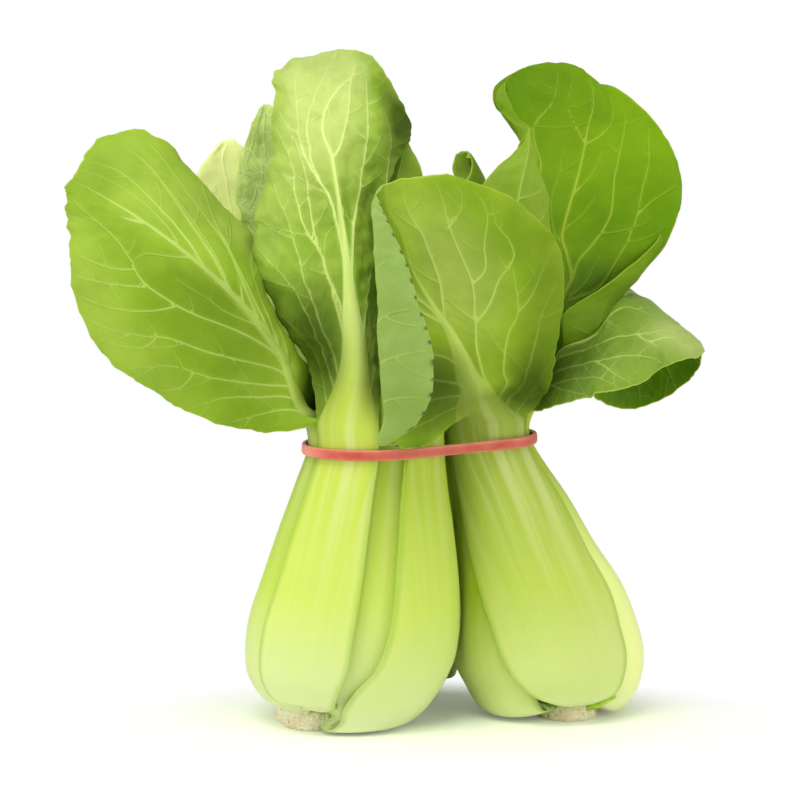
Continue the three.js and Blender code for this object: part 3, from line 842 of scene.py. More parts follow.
def closed_tube(rings: np.ndarray, ends: np.ndarray) -> tuple[np.ndarray, np.ndarray]:
    """Vertices and triangles of a tube of rings, each end closed by a fan round its middle.

    Args:
        rings: Points (rings, points in a ring, 3), anticlockwise as seen from the last ring.
        ends: Middles (2, 3) of the first and the last ring.

    Returns:
        Vertices and the corner numbers of the triangles.
    """
    rows, columns = rings.shape[:2]
    index = np.arange(rows * columns).reshape(rows, columns)
    after = np.roll(index, -1, axis=1)
    quads = np.stack([index[:-1], after[:-1], after[1:], index[1:]], axis=-1).reshape(-1, 4)
    first, last = np.full(columns, rows * columns), np.full(columns, rows * columns + 1)
    fans = (
        np.stack([after[0], index[0], first], axis=-1),
        np.stack([index[-1], after[-1], last], axis=-1),
    )
    triangles = np.concatenate([quads[:, [0, 1, 2]], quads[:, [0, 2, 3]], *fans])
    return np.concatenate([rings.reshape(-1, 3), ends]), triangles


def new_object(
    name: str,
    vertices: np.ndarray,
    faces: np.ndarray,
    material: bpy.types.Material,
    values: dict[str, np.ndarray] | None = None,
    places: np.ndarray | None = None,
) -> bpy.types.Object:
    """Make a smooth mesh object from arrays.

    Args:
        name: Name of the object.
        vertices: Vertices in millimetres of the bunch.
        faces: Corner numbers, all faces with as many corners.
        material: Its material.
        values: Attributes, one value to each vertex.
        places: Surface coordinates of each vertex, for the UV map named leaf.

    Returns:
        The object, at the origin.
    """
    mesh = bpy.data.meshes.new(name)
    sides = faces.shape[1]
    mesh.vertices.add(len(vertices))
    mesh.vertices.foreach_set("co", (vertices * MM + SHIFT).astype(np.float32).ravel())
    mesh.loops.add(faces.size)
    mesh.loops.foreach_set("vertex_index", faces.astype(np.int32).ravel())
    mesh.polygons.add(len(faces))
    mesh.polygons.foreach_set("loop_start", np.arange(0, faces.size, sides, dtype=np.int32))
    mesh.polygons.foreach_set("use_smooth", np.ones(len(faces), dtype=bool))
    for label, data in (values or {}).items():
        attribute = mesh.attributes.new(label, "FLOAT", "POINT")
        attribute.data.foreach_set("value", data.astype(np.float32).ravel())
    if places is not None:
        layer = mesh.uv_layers.new(name="leaf")
        layer.uv.foreach_set("vector", places[faces.ravel()].astype(np.float32).ravel())
    mesh.materials.append(material)
    mesh.update()
    mesh.validate()
    made = bpy.data.objects.new(name, mesh)
    bpy.context.scene.collection.objects.link(made)
    return made


# ------------------------------------------------------------------ leaves


@dataclass(frozen=True)
class Vein:
    """A side vein: places it runs through as (u, v) on the blade, and its width in millimetres."""

    run: tuple[tuple[float, float], ...]
    width: float = 1.0
    twigs: int = 4


@dataclass(frozen=True)
class PaintedLightPatch:
    """A part of a blade with painted light or shade round a place (u, v), of a size in millimetres.
    """

    place: tuple[float, float]
    size: tuple[float, float]
    amount: float


@dataclass(frozen=True)
class Blade:
    """A blade's cross-sections from the neck to the tip, and how lively its surface is.

    `midrib` is the v of its midrib, and `rib` half the midrib's width at the neck, which fades
    over `rib_fade` millimetres. Side veins without places of their own are an even fan.
    """

    sections: tuple[Section, ...]
    across: tuple[float, ...] = (-1.0, 0.0, 1.0)
    midrib: float = 0.0
    rib: float = 8.0
    rib_fade: float = 16.0
    ruffle: float = 0.8
    blister: float = 0.35
    teeth: float = 0.35
    side_veins: int = 7
    midrib_vein: float = 1.8
    veins: tuple[Vein, ...] = ()
    # patches of painted light (amount above 0) and painted shade (below 0) laid over the blade's
    # colour
    painted_light_patches: tuple[PaintedLightPatch, ...] = ()


@dataclass(frozen=True)
class Petiole:
    """Where a petiole lies round its bulb, at the foot, the belly and the neck, in degrees.

    In millimetres, `depth` sinks it into the bulb at these places, `tuck` sinks its two edges and
    `lift` raises its foot. `narrow` is the share by which the foot is drawn in.
    """

    azimuth: tuple[float, float, float]
    spread: tuple[float, float, float]
    depth: tuple[float, float, float] = (0.0, 0.0, 0.0)
    tuck: tuple[float, float] = (0.0, 0.0)
    narrow: float = 0.0
    lift: float = 0.0

    NARROWING: ClassVar[tuple[float, ...]] = (1, 0.8, 0.55, 0.3, 0.12)
    LIFTING: ClassVar[tuple[float, ...]] = (0.6, 1, 0.8, 0.15, 0)
    SOLE: ClassVar[int] = 2
    SOLE_RISE: ClassVar[float] = 1.7
    BELLY: ClassVar[int] = 5

    def graded(self, values: tuple[float, float, float], share: np.ndarray) -> np.ndarray:
        """Blend foot, belly and neck values at `share` of the way up."""
        return np.interp(share, (0, 0.5, 1), values)

    def rows(self, bulb: Bulb, sides: np.ndarray) -> np.ndarray:
        """Points of the outer face, on the bulb's skin and sunk into it by the depth and tuck.

        Args:
            bulb: The head's bulb.
            sides: Places across, from -1 to 1.

        Returns:
            Points (levels, sides, 3).
        """
        count = len(bulb.levels)
        level = np.arange(count, dtype=float)
        share = level / (count - 1)
        spread = self.graded(self.spread, share)
        spread = spread * (1 - self.narrow * np.interp(level, range(6), (*self.NARROWING, 0)))
        turn = self.graded(self.azimuth, share)[:, None]
        turn = np.radians(turn + spread[:, None] * sides[None, :])
        dip = np.where(sides < 0, self.tuck[0], self.tuck[1]) * sides**2
        depth = self.graded(self.depth, share)[:, None] + dip[None, :]
        inward = -bulb.outward(level, turn)
        inward[: self.BELLY, :, 2] = np.maximum(inward[: self.BELLY, :, 2], 0)
        level_in = np.stack([-np.cos(turn), -np.sin(turn), self.SOLE_RISE + 0 * turn], axis=-1)
        inward[: self.SOLE] = level_in[: self.SOLE]
        points = bulb.skin(level, turn) + unit(inward) * depth[..., None]
        points[..., 2] = np.maximum(points[..., 2], FOOT)
        points[..., 2] += self.lift * np.interp(level, range(5), self.LIFTING)[:, None]
        return points


@dataclass
class Leaf:
    """One leaf: a petiole on a bulb and a blade above it, made as one closed skin."""

    node: str
    bulb: Bulb
    petiole: Petiole
    blade: Blade
    finish: LeafFinish
    pitch: float = 0.9
    seed: int = 1
    grid: dict[str, np.ndarray] = field(default_factory=dict)

    PETIOLE: ClassVar[float] = 5.2  # thickness at the middle of the petiole
    MIDRIB: ClassVar[float] = 2.4  # thickness of the midrib above the neck
    PETIOLE_EDGE: ClassVar[float] = 1.2  # thickness of the petiole's edges
    LAMINA: ClassVar[float] = 0.5  # thickness of the lamina
    VEIN_SLOPE: ClassVar[float] = 0.8  # how far a vein's ridge runs out
    VEIN_RISE: ClassVar[float] = 0.3  # how far a vein stands proud
    CELL: ClassVar[float] = 3.0  # how far from a vein the lamina blisters in full
    TOOTH: ClassVar[float] = 1.4  # how far in from the margin the teeth reach
    VEIN_SEARCH: ClassVar[float] = 4.5  # how far from a vein its distance is measured

    def surface(self) -> None:
        """Work out the smooth face: sections joined across by `v`, then along by `u`."""
        sections = np.array(self.blade.sections, float)
        widths = np.linalg.norm(np.diff(sections, axis=1), axis=2).sum(axis=1)
        columns = int(np.clip(widths.max() / self.pitch, 20, 170))
        v = np.linspace(-1, 1, columns + 1)
        petiole = self.petiole.rows(self.bulb, v)
        across = np.array(self.blade.across, float)
        blade = smooth_through(sections.transpose(1, 0, 2), across, v).transpose(1, 0, 2)
        rows = np.concatenate([petiole, blade])
        gaps = np.linalg.norm(np.diff(rows, axis=0), axis=2)
        knots = np.concatenate([[0.0], np.cumsum(gaps.mean(axis=1))])
        neck = knots[len(petiole) - 1]
        tip = knots[-1]
        low = np.linspace(0, neck, int(neck / max(1.0, self.pitch)) + 1)
        high = np.linspace(neck, tip, int((tip - neck) / self.pitch) + 1)[1:]
        u = np.concatenate([low, high])
        self.grid["face"] = smooth_through(rows, knots, u)
        self.grid["v"] = v
        self.grid["up"] = u - neck
        self.grid["span"] = np.array([neck, tip - neck])

    def measure(self) -> None:
        """Distances on the surface: along from the neck, across from the midrib, to the margin."""
        face, v, up = self.grid["face"], self.grid["v"], self.grid["up"]
        steps = np.linalg.norm(np.diff(face, axis=1), axis=2)
        arc = np.concatenate([np.zeros((len(face), 1)), np.cumsum(steps, axis=1)], axis=1)
        shift = self.blade.midrib * ease(-5, 25, up)
        middle = np.array([np.interp(m, v, row) for m, row in zip(shift, arc)])
        across = arc - middle[:, None]
        half = np.where(across < 0, middle[:, None], (arc[:, -1] - middle)[:, None])
        faded = self.blade.rib * np.exp(-np.maximum(up, 0) / self.blade.rib_fade) - 0.5
        blend = ease(-22, 0, up)[:, None]
        radius = (half * 1.06 + 0.5) * (1 - blend) + faded[:, None] * blend
        below_tip = (self.grid["span"][1] - up)[:, None]
        side_gap = np.minimum(arc, arc[:, -1:] - arc)
        tip_gap = np.maximum(below_tip, 0)
        margin = np.minimum(side_gap, tip_gap)
        self.grid.update(across=across, half=half, radius=radius, margin=margin)
        self.grid.update(side_gap=side_gap, tip_gap=tip_gap)

    def spot(self, run: np.ndarray) -> tuple[np.ndarray, np.ndarray]:
        """Grid numbers of blade places.

        Args:
            run: Places (n, 2) as (u, v), where u is 0 at the neck and 1 at the tip.

        Returns:
            Fractional row numbers and column numbers.
        """
        up, v = self.grid["up"], self.grid["v"]
        i = np.interp(run[:, 0] * self.grid["span"][1], up, np.arange(len(up)))
        j = np.interp(run[:, 1], v, np.arange(len(v)))
        return i, j

    def points_at(self, i: np.ndarray, j: np.ndarray) -> np.ndarray:
        """Points of the smooth face between grid points, by straight blending.

        Args:
            i: Fractional row numbers.
            j: Fractional column numbers.

        Returns:
            Points (n, 3).
        """
        face = self.grid["face"]
        i0 = np.clip(np.floor(i).astype(int), 0, face.shape[0] - 2)
        j0 = np.clip(np.floor(j).astype(int), 0, face.shape[1] - 2)
        fi, fj = (i - i0)[:, None], (j - j0)[:, None]
        low = face[i0, j0] * (1 - fj) + face[i0, j0 + 1] * fj
        high = face[i0 + 1, j0] * (1 - fj) + face[i0 + 1, j0 + 1] * fj
        return low * (1 - fi) + high * fi

    def painted_shading(self) -> np.ndarray:
        """How much painted light (above 0) or painted shade (below 0) each grid point gets.

        Each patch adds its amount times a bell of the distance from its place.

        Returns:
            Tones (rows, columns).
        """
        up, v = self.grid["up"][:, None], self.grid["v"][None, :]
        width = (self.grid["half"].max(axis=1) + 1e-6)[:, None]
        total = np.zeros((up.shape[0], v.shape[1]))
        for patch in self.blade.painted_light_patches:
            ahead = (up - patch.place[0] * self.grid["span"][1]) / patch.size[0]
            aside = (v - patch.place[1]) * width / patch.size[1]
            total += patch.amount * np.exp(-(ahead**2) - aside**2)
        return total

    def side_runs(self) -> list[tuple[np.ndarray, float, int]]:
        """Runs of the side veins: the named ones, or an even fan that arches towards the tip.

        Returns:
            For each vein its places, its width and its number of twigs.
        """
        if self.blade.veins:
            return [(np.array(vein.run), vein.width, vein.twigs) for vein in self.blade.veins]
        random = np.random.default_rng(self.seed)
        runs = []
        count = self.blade.side_veins
        middle = self.blade.midrib
        if self.blade.midrib_vein > 0:
            midrib = np.stack([np.linspace(0.0, 0.97, 8), np.full(8, middle)], axis=1)
            runs.append((midrib, self.blade.midrib_vein, 0))
        for side in (-1, 1):
            for k in range(count):
                start = 0.02 + 0.78 * (k + 0.25 * (side + 1)) / count
                start += random.uniform(-0.015, 0.015)
                rise = 0.42 * (1 - start) + random.uniform(-0.03, 0.03)
                reach = np.array([0.0, 0.3, 0.62, 0.93])
                climb = np.array([0.0, 0.3, 0.62, 1.0]) ** 1.25 * rise
                v = middle + (side - middle) * reach
                run = np.stack([start + climb, v], axis=1)
                runs.append((run, 0.8 * (1 - 0.55 * start), 3))
        return runs

    def vein_lines(self) -> list[tuple[np.ndarray, np.ndarray, float, float]]:
        """Every vein and twig as grid places, with its half-width at its start and end.

        Twigs leave a side vein left and right in turn, and bend back towards the tip.

        Returns:
            Row numbers, column numbers and two half-widths for each line.
        """
        random = np.random.default_rng(self.seed + 7)
        lines = []
        length = self.grid["span"][1]
        width_at = np.median(self.grid["half"][len(self.grid["up"]) // 2 :])
        for run, width, twigs in self.side_runs():
            knots = np.linspace(0, 1, len(run))
            t = np.linspace(0, 1, 40)
            path = smooth_through(run, knots, t)
            lines.append((*self.spot(path), width * 0.32, 0.08))
            heading = np.gradient(path, axis=0) * np.array([length, width_at])
            for k in range(twigs):
                n = int(40 * (0.25 + 0.68 * (k + 0.5) / max(twigs, 1)))
                ahead = heading[n] / np.linalg.norm(heading[n])
                side = 1 if k % 2 else -1
                turn = math.radians(random.uniform(38, 62)) * side
                rotate = np.array(
                    [[math.cos(turn), -math.sin(turn)], [math.sin(turn), math.cos(turn)]]
                )
                first = rotate @ ahead
                reach = random.uniform(7, 13) * (1 - 0.35 * k / max(twigs, 1))
                bend = first * 0.7 + ahead * 0.3
                steps = np.linspace(0, 1, 12)[:, None]
                offset = reach * (steps * first + steps**2 * (bend - first) * 0.8)
                twig = path[n] + offset / np.array([length, width_at])
                twig = np.clip(twig, [0, -0.99], [0.99, 0.99])
                lines.append((*self.spot(twig), width * 0.12, 0.03))
        return lines

    def trace_veins(self) -> None:
        """Find the nearest vein to each grid point.

        `vein` is millimetres to its side and negative inside it, `aside` is millimetres to its
        middle line with a sign for the side, so that it passes through 0 exactly on the line
        however coarse the grid is, and `girth` is its half-width there. Each short stretch of a
        vein measures only the grid points around it.
        """
        face = self.grid["face"]
        rows, columns = face.shape[:2]
        reach = self.VEIN_SEARCH
        vein, aside = np.full((rows, columns), reach), np.full((rows, columns), reach)
        girth = np.full((rows, columns), 0.1)
        row_numbers, column_numbers = np.indices((rows, columns))
        pad = int(reach / self.pitch) + 1
        for i, j, start, end in self.vein_lines():
            points = self.points_at(i, j)
            widths = np.linspace(start, end, len(i))
            for k in range(len(i) - 1):
                top = int(max(min(i[k], i[k + 1]) - pad, 0))
                bottom = int(min(max(i[k], i[k + 1]) + pad + 1, rows))
                left = int(max(min(j[k], j[k + 1]) - pad, 0))
                right = int(min(max(j[k], j[k + 1]) + pad + 1, columns))
                part = (slice(top, bottom), slice(left, right))
                window = face[part]
                a, way = points[k], points[k + 1] - points[k]
                t = np.clip((window - a) @ way / max(way @ way, 1e-9), 0, 1)
                distance = np.linalg.norm(window - a - t[..., None] * way, axis=2)
                turned = (row_numbers[part] - i[k]) * (j[k + 1] - j[k])
                turned = turned - (column_numbers[part] - j[k]) * (i[k + 1] - i[k])
                closer = distance - widths[k] < vein[part]
                vein[part] = np.where(closer, distance - widths[k], vein[part])
                aside[part] = np.where(closer, np.copysign(distance, turned), aside[part])
                girth[part] = np.where(closer, widths[k], girth[part])
        self.grid.update(vein=vein, aside=aside, girth=girth)

    def skins(self) -> tuple[np.ndarray, np.ndarray]:
        """The two faces, displaced from the smooth face along its normals and within it.

        Outside, veins stand proud by a bell of the distance to them and the lamina blisters
        inward between them; the margin waves by noise along it and bites in by small teeth. The
        midrib and petiole thin out sideways as (1 - (across / radius)^2)^0.8.

        Returns:
            Outer and inner face, arrays (rows, columns, 3).
        """
        grid, blade = self.grid, self.blade
        face, up = grid["face"], grid["up"][:, None]
        across, radius, margin = grid["across"], grid["radius"], grid["margin"]
        noise = Noise(self.seed)
        along = unit(np.gradient(face, axis=0))
        over = unit(np.gradient(face, axis=1))
        normal = unit(np.cross(over, along))
        lamina = ease(0, 18, up) * ease(-0.5, 2.5, np.abs(across) - radius)
        beside = np.maximum(grid["vein"], 0)
        vein = np.exp(-((beside / self.VEIN_SLOPE) ** 2)) * ease(0.05, 0.4, grid["girth"])
        between = 1 - np.exp(-((beside / self.CELL) ** 2))
        swell = 0.6 + 0.4 * noise(up / 5 + 3, across / 5)
        pucker = blade.blister * (between * swell + 0.5 * noise(up / 2.6, across / 2.6 + 9))
        wave = blade.ruffle * (noise(up / 9, 5) + 0.5 * noise(up / 4, 8 + np.sign(across)))
        wave = wave * np.exp(-margin / 7) * ease(4, 25, up)
        streaks = 0.04 * noise(across / 3.0 + 20, up / 60) * (1 - lamina)
        edge = self.PETIOLE_EDGE + (self.LAMINA - self.PETIOLE_EDGE) * ease(-12, 10, up)
        middle = self.PETIOLE + (self.MIDRIB - self.PETIOLE) * ease(-12, 18, up)
        middle = edge + (middle - edge) * np.exp(-np.maximum(up, 0) / 42)
        body = 1 - np.clip(np.abs(across) / np.maximum(radius, 1.2), 0, 1) ** 2
        thick = edge + (middle - edge) * body**0.8
        proud = 0.55 * (thick - edge) * ease(-10, 14, up)
        lift = proud + (self.VEIN_RISE * vein - pucker) * lamina + wave + streaks
        side = np.sign(grid["v"])[None, :]
        tooth = 0.35 + noise(up / 2.8, 12 + 3 * side) + 0.4 * noise(up / 1.1, 31 + 3 * side)
        sideways = blade.teeth * tooth * np.exp(-((grid["side_gap"] / self.TOOTH) ** 2))
        tooth = 0.35 + noise(across / 2.8, 17.0) + 0.4 * noise(across / 1.1, 37.0)
        tipward = blade.teeth * tooth * np.exp(-((grid["tip_gap"] / self.TOOTH) ** 2))
        thin = 1 - 0.45 * np.exp(-((margin / 0.8) ** 2))
        moved = face + over * (sideways * side * ease(3, 14, up))[..., None]
        moved = moved + along * tipward[..., None]
        outer = moved + normal * lift[..., None]
        inner = outer - normal * (thick * thin + 0.14 * vein * lamina)[..., None]
        for skin in (outer, inner):
            skin[..., 2] = np.maximum(skin[..., 2], FOOT)
        return outer, inner

    def build(self, groups: Groups) -> bpy.types.Object:
        """Make the leaf's object and hand it to the frame.

        Args:
            groups: The shared node groups.

        Returns:
            The finished object.
        """
        self.surface()
        self.measure()
        self.trace_veins()
        outer, inner = self.skins()
        vertices, faces = closed_skin(outer, inner)
        up, across = self.grid["up"][:, None], self.grid["across"]
        neck, blade = self.grid["span"]
        grow = np.where(up < 0, 1 + up / neck, 1 + up / blade) + 0 * across
        both = {
            "vein": self.grid["vein"],
            "aside": self.grid["aside"],
            "girth": self.grid["girth"],
            # painted light and shade, which the material lays over the colour
            "painted_shading": self.painted_shading(),
            "rib": np.abs(across) - self.grid["radius"],
            "edge": self.grid["margin"],
            "grow": grow,
        }
        values = {label: np.concatenate([data, data]) for label, data in both.items()}
        shape = across.shape
        values["face"] = np.concatenate(
            [np.full(shape, Face.OUTER.value), np.full(shape, Face.INNER.value)]
        )
        if self.finish.margin_dots:
            spacing = Noise(self.seed + 3)(up / 5, 2) * 1.2
            bead = np.cos(2 * math.pi * (up + spacing) / 4.2)
            dots = ease(0.55, 0.9, bead) * ease(1.0, 0.2, self.grid["margin"]) * ease(8, 20, up)
            dots = dots * (self.grid["v"][None, :] < 0)
            values["dots"] = np.concatenate([dots, dots])
        places = np.stack([up + 0 * across, across], axis=-1).reshape(-1, 2) / 10
        material = LeafDress("leaf_" + self.node, self.finish, groups).build()
        made = new_object(
            "look_" + self.node, vertices, faces, material, values, np.concatenate([places] * 2)
        )
        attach(made, "root")
        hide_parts(self.node)
        return made


# ------------------------------------------------------------------ stem bases, shoot and band


@dataclass(frozen=True)
class StemBase:
    """The cut end of a head: a ragged round stub with a fibrous face."""

    node: str
    middle: tuple[float, float]
    half: tuple[float, float]

    def build(self, material: bpy.types.Material) -> bpy.types.Object:
        """Make the stub: a profile of radius and height carried round, roughened by noise.

        Args:
            material: Cut stem finish.

        Returns:
            The finished object.
        """
        noise = Noise(len(self.node) * 5)
        profile = np.array(
            [[0.05, 0.4], [0.35, 0.25], [0.7, 0.12], [0.9, 0.0], [0.97, 0.0], [1.0, 0.6],
             [1.0, 1.8], [0.99, 3.2], [0.95, 4.4], [0.75, 6.5], [0.4, 9.0], [0.05, 10.4]]
        )
        t = np.linspace(0, len(profile) - 1, 90)
        shape = smooth_through(profile, np.arange(len(profile), dtype=float), t)
        turn = np.linspace(0, 2 * math.pi, 161)[:-1]
        ring = np.stack([np.cos(turn) * 3 + 10, np.sin(turn) * 3 + 10], axis=0)
        rough = noise(ring[0][None] * 2.2, ring[1][None] * 2.2 + shape[:, :1] * 4)
        fine = noise(ring[0][None] * 9, ring[1][None] * 9 + shape[:, 1:] * 3)
        radius = shape[:, :1] * (1 + 0.05 * rough + 0.03 * fine)
        height = shape[:, 1:] + 0.25 * np.maximum(fine, 0) * (shape[:, 1:] < 1.5)
        x = self.middle[0] + self.half[0] * radius * np.cos(turn)
        y = self.middle[1] + self.half[1] * radius * np.sin(turn)
        points = np.stack([x, y, np.maximum(height + 0 * x, 0)], axis=-1)
        vertices, triangles = closed_tube(points, points[[0, -1]].mean(axis=1))
        made = new_object("look_" + self.node, vertices, triangles, material)
        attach(made, "root")
        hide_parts(self.node)
        return made


@dataclass(frozen=True)
class CutShoot:
    """A thin trimmed side shoot at the foot of the right head."""

    node: str = "right_cut_shoot"
    radius: float = 1.0
    route: tuple[Point, ...] = ((54, 2, 2.2), (59, -2.5, 4.6), (64, -4, 8.0))

    def build(self) -> bpy.types.Object:
        """Make the stalk: a circle carried along the route, flared at the cut.

        Returns:
            The finished object.
        """
        t = np.linspace(0, 1, 40)
        path = smooth_through(np.array(self.route, float), np.array([0, 0.5, 1.0]), t)
        ahead = unit(np.gradient(path, axis=0))
        side = unit(np.cross(ahead, np.array([0.0, 0.0, 1.0])))
        rise = np.cross(ahead, side)
        turn = np.linspace(0, 2 * math.pi, 25)[:-1][None, :, None]
        flare = self.radius * (1 + 0.25 * ease(0.8, 1.0, t))[:, None, None]
        points = path[:, None] + flare * (
            side[:, None] * np.cos(turn) + rise[:, None] * np.sin(turn)
        )
        vertices, triangles = closed_tube(points, path[[0, -1]])
        material, nodes, shader = fresh_material("fresh_shoot")
        noise = nodes.noise(nodes.add("TexCoord").outputs["Object"], 700.0)["Fac"]
        share = nodes.step(noise, 0.35, 0.65)
        nodes.feed(
            shader.inputs["Base Color"], nodes.blend(share, tint(168, 208, 40), tint(200, 226, 90))
        )
        shader.inputs["Roughness"].default_value = 0.5
        shader.inputs["Subsurface Weight"].default_value = 0.3
        shader.inputs["Subsurface Scale"].default_value = 1.0 * MM
        made = new_object("look_" + self.node, vertices, triangles, material)
        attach(made, "root")
        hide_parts(self.node)
        return made


@dataclass(frozen=True)
class RubberBand:
    """A flat rubber band, taut round the three necks, with a slight twist in it."""

    node: str = "rubber_band"
    height: float = 2.9
    thickness: float = 1.2
    clear: float = 0.5
    slope: float = 0.02

    @staticmethod
    def taut(turn: np.ndarray, out: np.ndarray) -> np.ndarray:
        """Where a taut loop runs: the furthest point of the three neck ellipses each way.

        Args:
            turn: Directions in radians.
            out: How far clear of the necks, of a shape that `turn` broadcasts to.

        Returns:
            Points (..., 2) in millimetres.
        """
        way = np.stack([np.cos(turn), np.sin(turn)], axis=-1)
        touching = []
        for bulb in (LEFT_BULB, RIGHT_BULB, BACK_BULB):
            centre, half = np.array(bulb.neck.centre, float), np.array(bulb.neck.half, float)
            reach = np.linalg.norm(way * half, axis=-1, keepdims=True)
            touching.append(centre + half**2 * way / reach)
        stacked = np.stack(touching)
        far = np.argmax((stacked * way).sum(axis=-1), axis=0)
        best = np.take_along_axis(stacked, far[None, ..., None], axis=0)[0]
        return best + way * out[..., None]

    def build(self, material: bpy.types.Material) -> bpy.types.Object:
        """Make the band: a rounded flat section carried round the taut loop.

        Args:
            material: Rubber finish.

        Returns:
            The finished object.
        """
        turn = np.linspace(0, 2 * math.pi, 721)[:-1]
        section = np.linspace(0, 2 * math.pi, 25)[:-1]
        flat, tall = np.cos(section), np.sin(section)
        wide = np.sign(flat) * np.abs(flat) ** 0.55 * self.thickness / 2
        high = np.sign(tall) * np.abs(tall) ** 0.55 * self.height / 2
        lean = 0.22 * np.sin(2 * turn + 0.6)[:, None]
        out = self.clear + self.thickness / 2 + wide * np.cos(lean) - high * np.sin(lean) * 0.4
        rise = high * np.cos(lean) + wide * np.sin(lean)
        flatway = self.taut(np.broadcast_to(turn[:, None], out.shape), out)
        z = LEFT_BULB.neck.z + rise + self.slope * flatway[..., 0]
        points = np.concatenate([flatway, z[..., None]], axis=-1)
        rows, columns = points.shape[:2]
        index = np.arange(rows * columns).reshape(rows, columns)
        after = np.roll(index, -1, axis=1)
        ahead, both = np.roll(index, -1, axis=0), np.roll(after, -1, axis=0)
        quads = np.stack([index, ahead, both, after], axis=-1).reshape(-1, 4)
        # mask of the section's top and bottom rims, which get a painted highlight
        painted_rim_highlight = np.broadcast_to((np.abs(tall) ** 2)[None], (rows, columns))
        made = new_object(
            "look_" + self.node, points.reshape(-1, 3), quads, material, {"painted_rim_highlight": painted_rim_highlight.copy()}
        )
        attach(made, "root")
        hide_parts(self.node)
        return made

    def design_corner(self) -> np.ndarray:
        """Lowest x and y of the solid band in the bunch's own millimetres."""
        reach = self.clear + self.thickness
        lows = [np.array(b.neck.centre) - np.array(b.neck.half) for b in BULBS]
        return np.min(lows, axis=0) - reach


BULBS = (LEFT_BULB, RIGHT_BULB, BACK_BULB)


def frame_shift() -> np.ndarray:
    """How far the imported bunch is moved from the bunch's own axes, in metres."""
    low = np.array(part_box("rubber_band")[0])[:2]
    return np.array([*(low - RubberBand().design_corner() * MM), 0.0])


SHIFT = frame_shift()


# ------------------------------------------------------------------ the leaves' colours

# Some finishes also set their own colours of painted light and painted shade.
PALE_TIP = LeafFinish(
    outer=tint(236, 250, 158), outer_light=tint(244, 254, 172), inner=tint(236, 250, 158),
    inner_light=tint(244, 254, 172), vein=tint(244, 252, 190), net=0.35, cells=2.4, rim=0.2,
)
GREY_GREEN = LeafFinish(
    outer=tint(174, 196, 106), outer_light=tint(190, 212, 122), inner=tint(174, 196, 106),
    inner_light=tint(190, 212, 122), vein=tint(220, 234, 160), net=0.7, cells=2.2, rim=0.2,
    crinkle=3.0,
)
FRONT_LEFT = LeafFinish(
    outer=tint(120, 152, 34), outer_light=tint(158, 187, 70), vein=tint(208, 226, 130),
    neck=tint(200, 218, 88), painted_light=tint(140, 140, 96), painted_shade=tint(120, 132, 70), net=0.1,
    vein_strength=0.85, rim=0.35, crinkle=3.2, bundles=0.6,
)
SIDE = LeafFinish(
    inner=tint(128, 160, 30), inner_light=tint(150, 180, 50), outer=tint(158, 184, 80),
    outer_light=tint(172, 196, 94), vein=tint(188, 208, 104), waist=tint(192, 216, 84),
    neck=tint(170, 194, 76), painted_shade=tint(140, 150, 110), net=0.06, vein_strength=0.8, rim=0.6,
)
# Its belly and waist are darker than the plain petiole: partly its own colour, partly painted shade
# from the blade above. Its inner grey-green is partly the waxy face's own colour, partly a painted
# sheen of the white room.
FRONT_RIGHT = LeafFinish(
    outer=tint(128, 160, 28), outer_light=tint(150, 180, 42), inner=tint(138, 164, 80),
    inner_light=tint(152, 178, 96), vein=tint(182, 204, 92), belly=tint(216, 228, 150),
    waist=tint(190, 208, 90), neck=tint(174, 192, 80), painted_shade=tint(140, 150, 100), net=0.05,
    vein_strength=0.85, rim=0.25, margin_dots=True, bundles=0.6,
)
UPPER = LeafFinish(
    inner=tint(104, 146, 4), inner_light=tint(122, 160, 8), outer=tint(108, 142, 10),
    outer_light=tint(128, 160, 24), vein=tint(168, 194, 56), net=0.05, vein_strength=0.8,
    rim=0.25,
)
DROOPING = LeafFinish(
    outer=tint(86, 126, 8), outer_light=tint(102, 138, 12), inner=tint(112, 143, 40),
    inner_light=tint(132, 161, 58), vein=tint(184, 204, 104), waist=tint(232, 246, 150),
    belly=tint(244, 252, 172), net=0.14, cells=1.3, rim=0.6, crinkle=2.4,
)
BEHIND = LeafFinish(
    outer=tint(126, 156, 36), outer_light=tint(140, 170, 48), belly=tint(216, 228, 146),
    waist=tint(166, 190, 44), neck=tint(140, 166, 44), net=0.06,
)
PLAIN = LeafFinish()


# ------------------------------------------------------------------ the left head
# A blade's sections go up from the neck. Each runs from one margin (v = -1) to the other (v = 1),
# in millimetres of the bunch: to the right, to the back and up. Places of veins and of patches of
# painted light and shade are (u, v) on the blade.

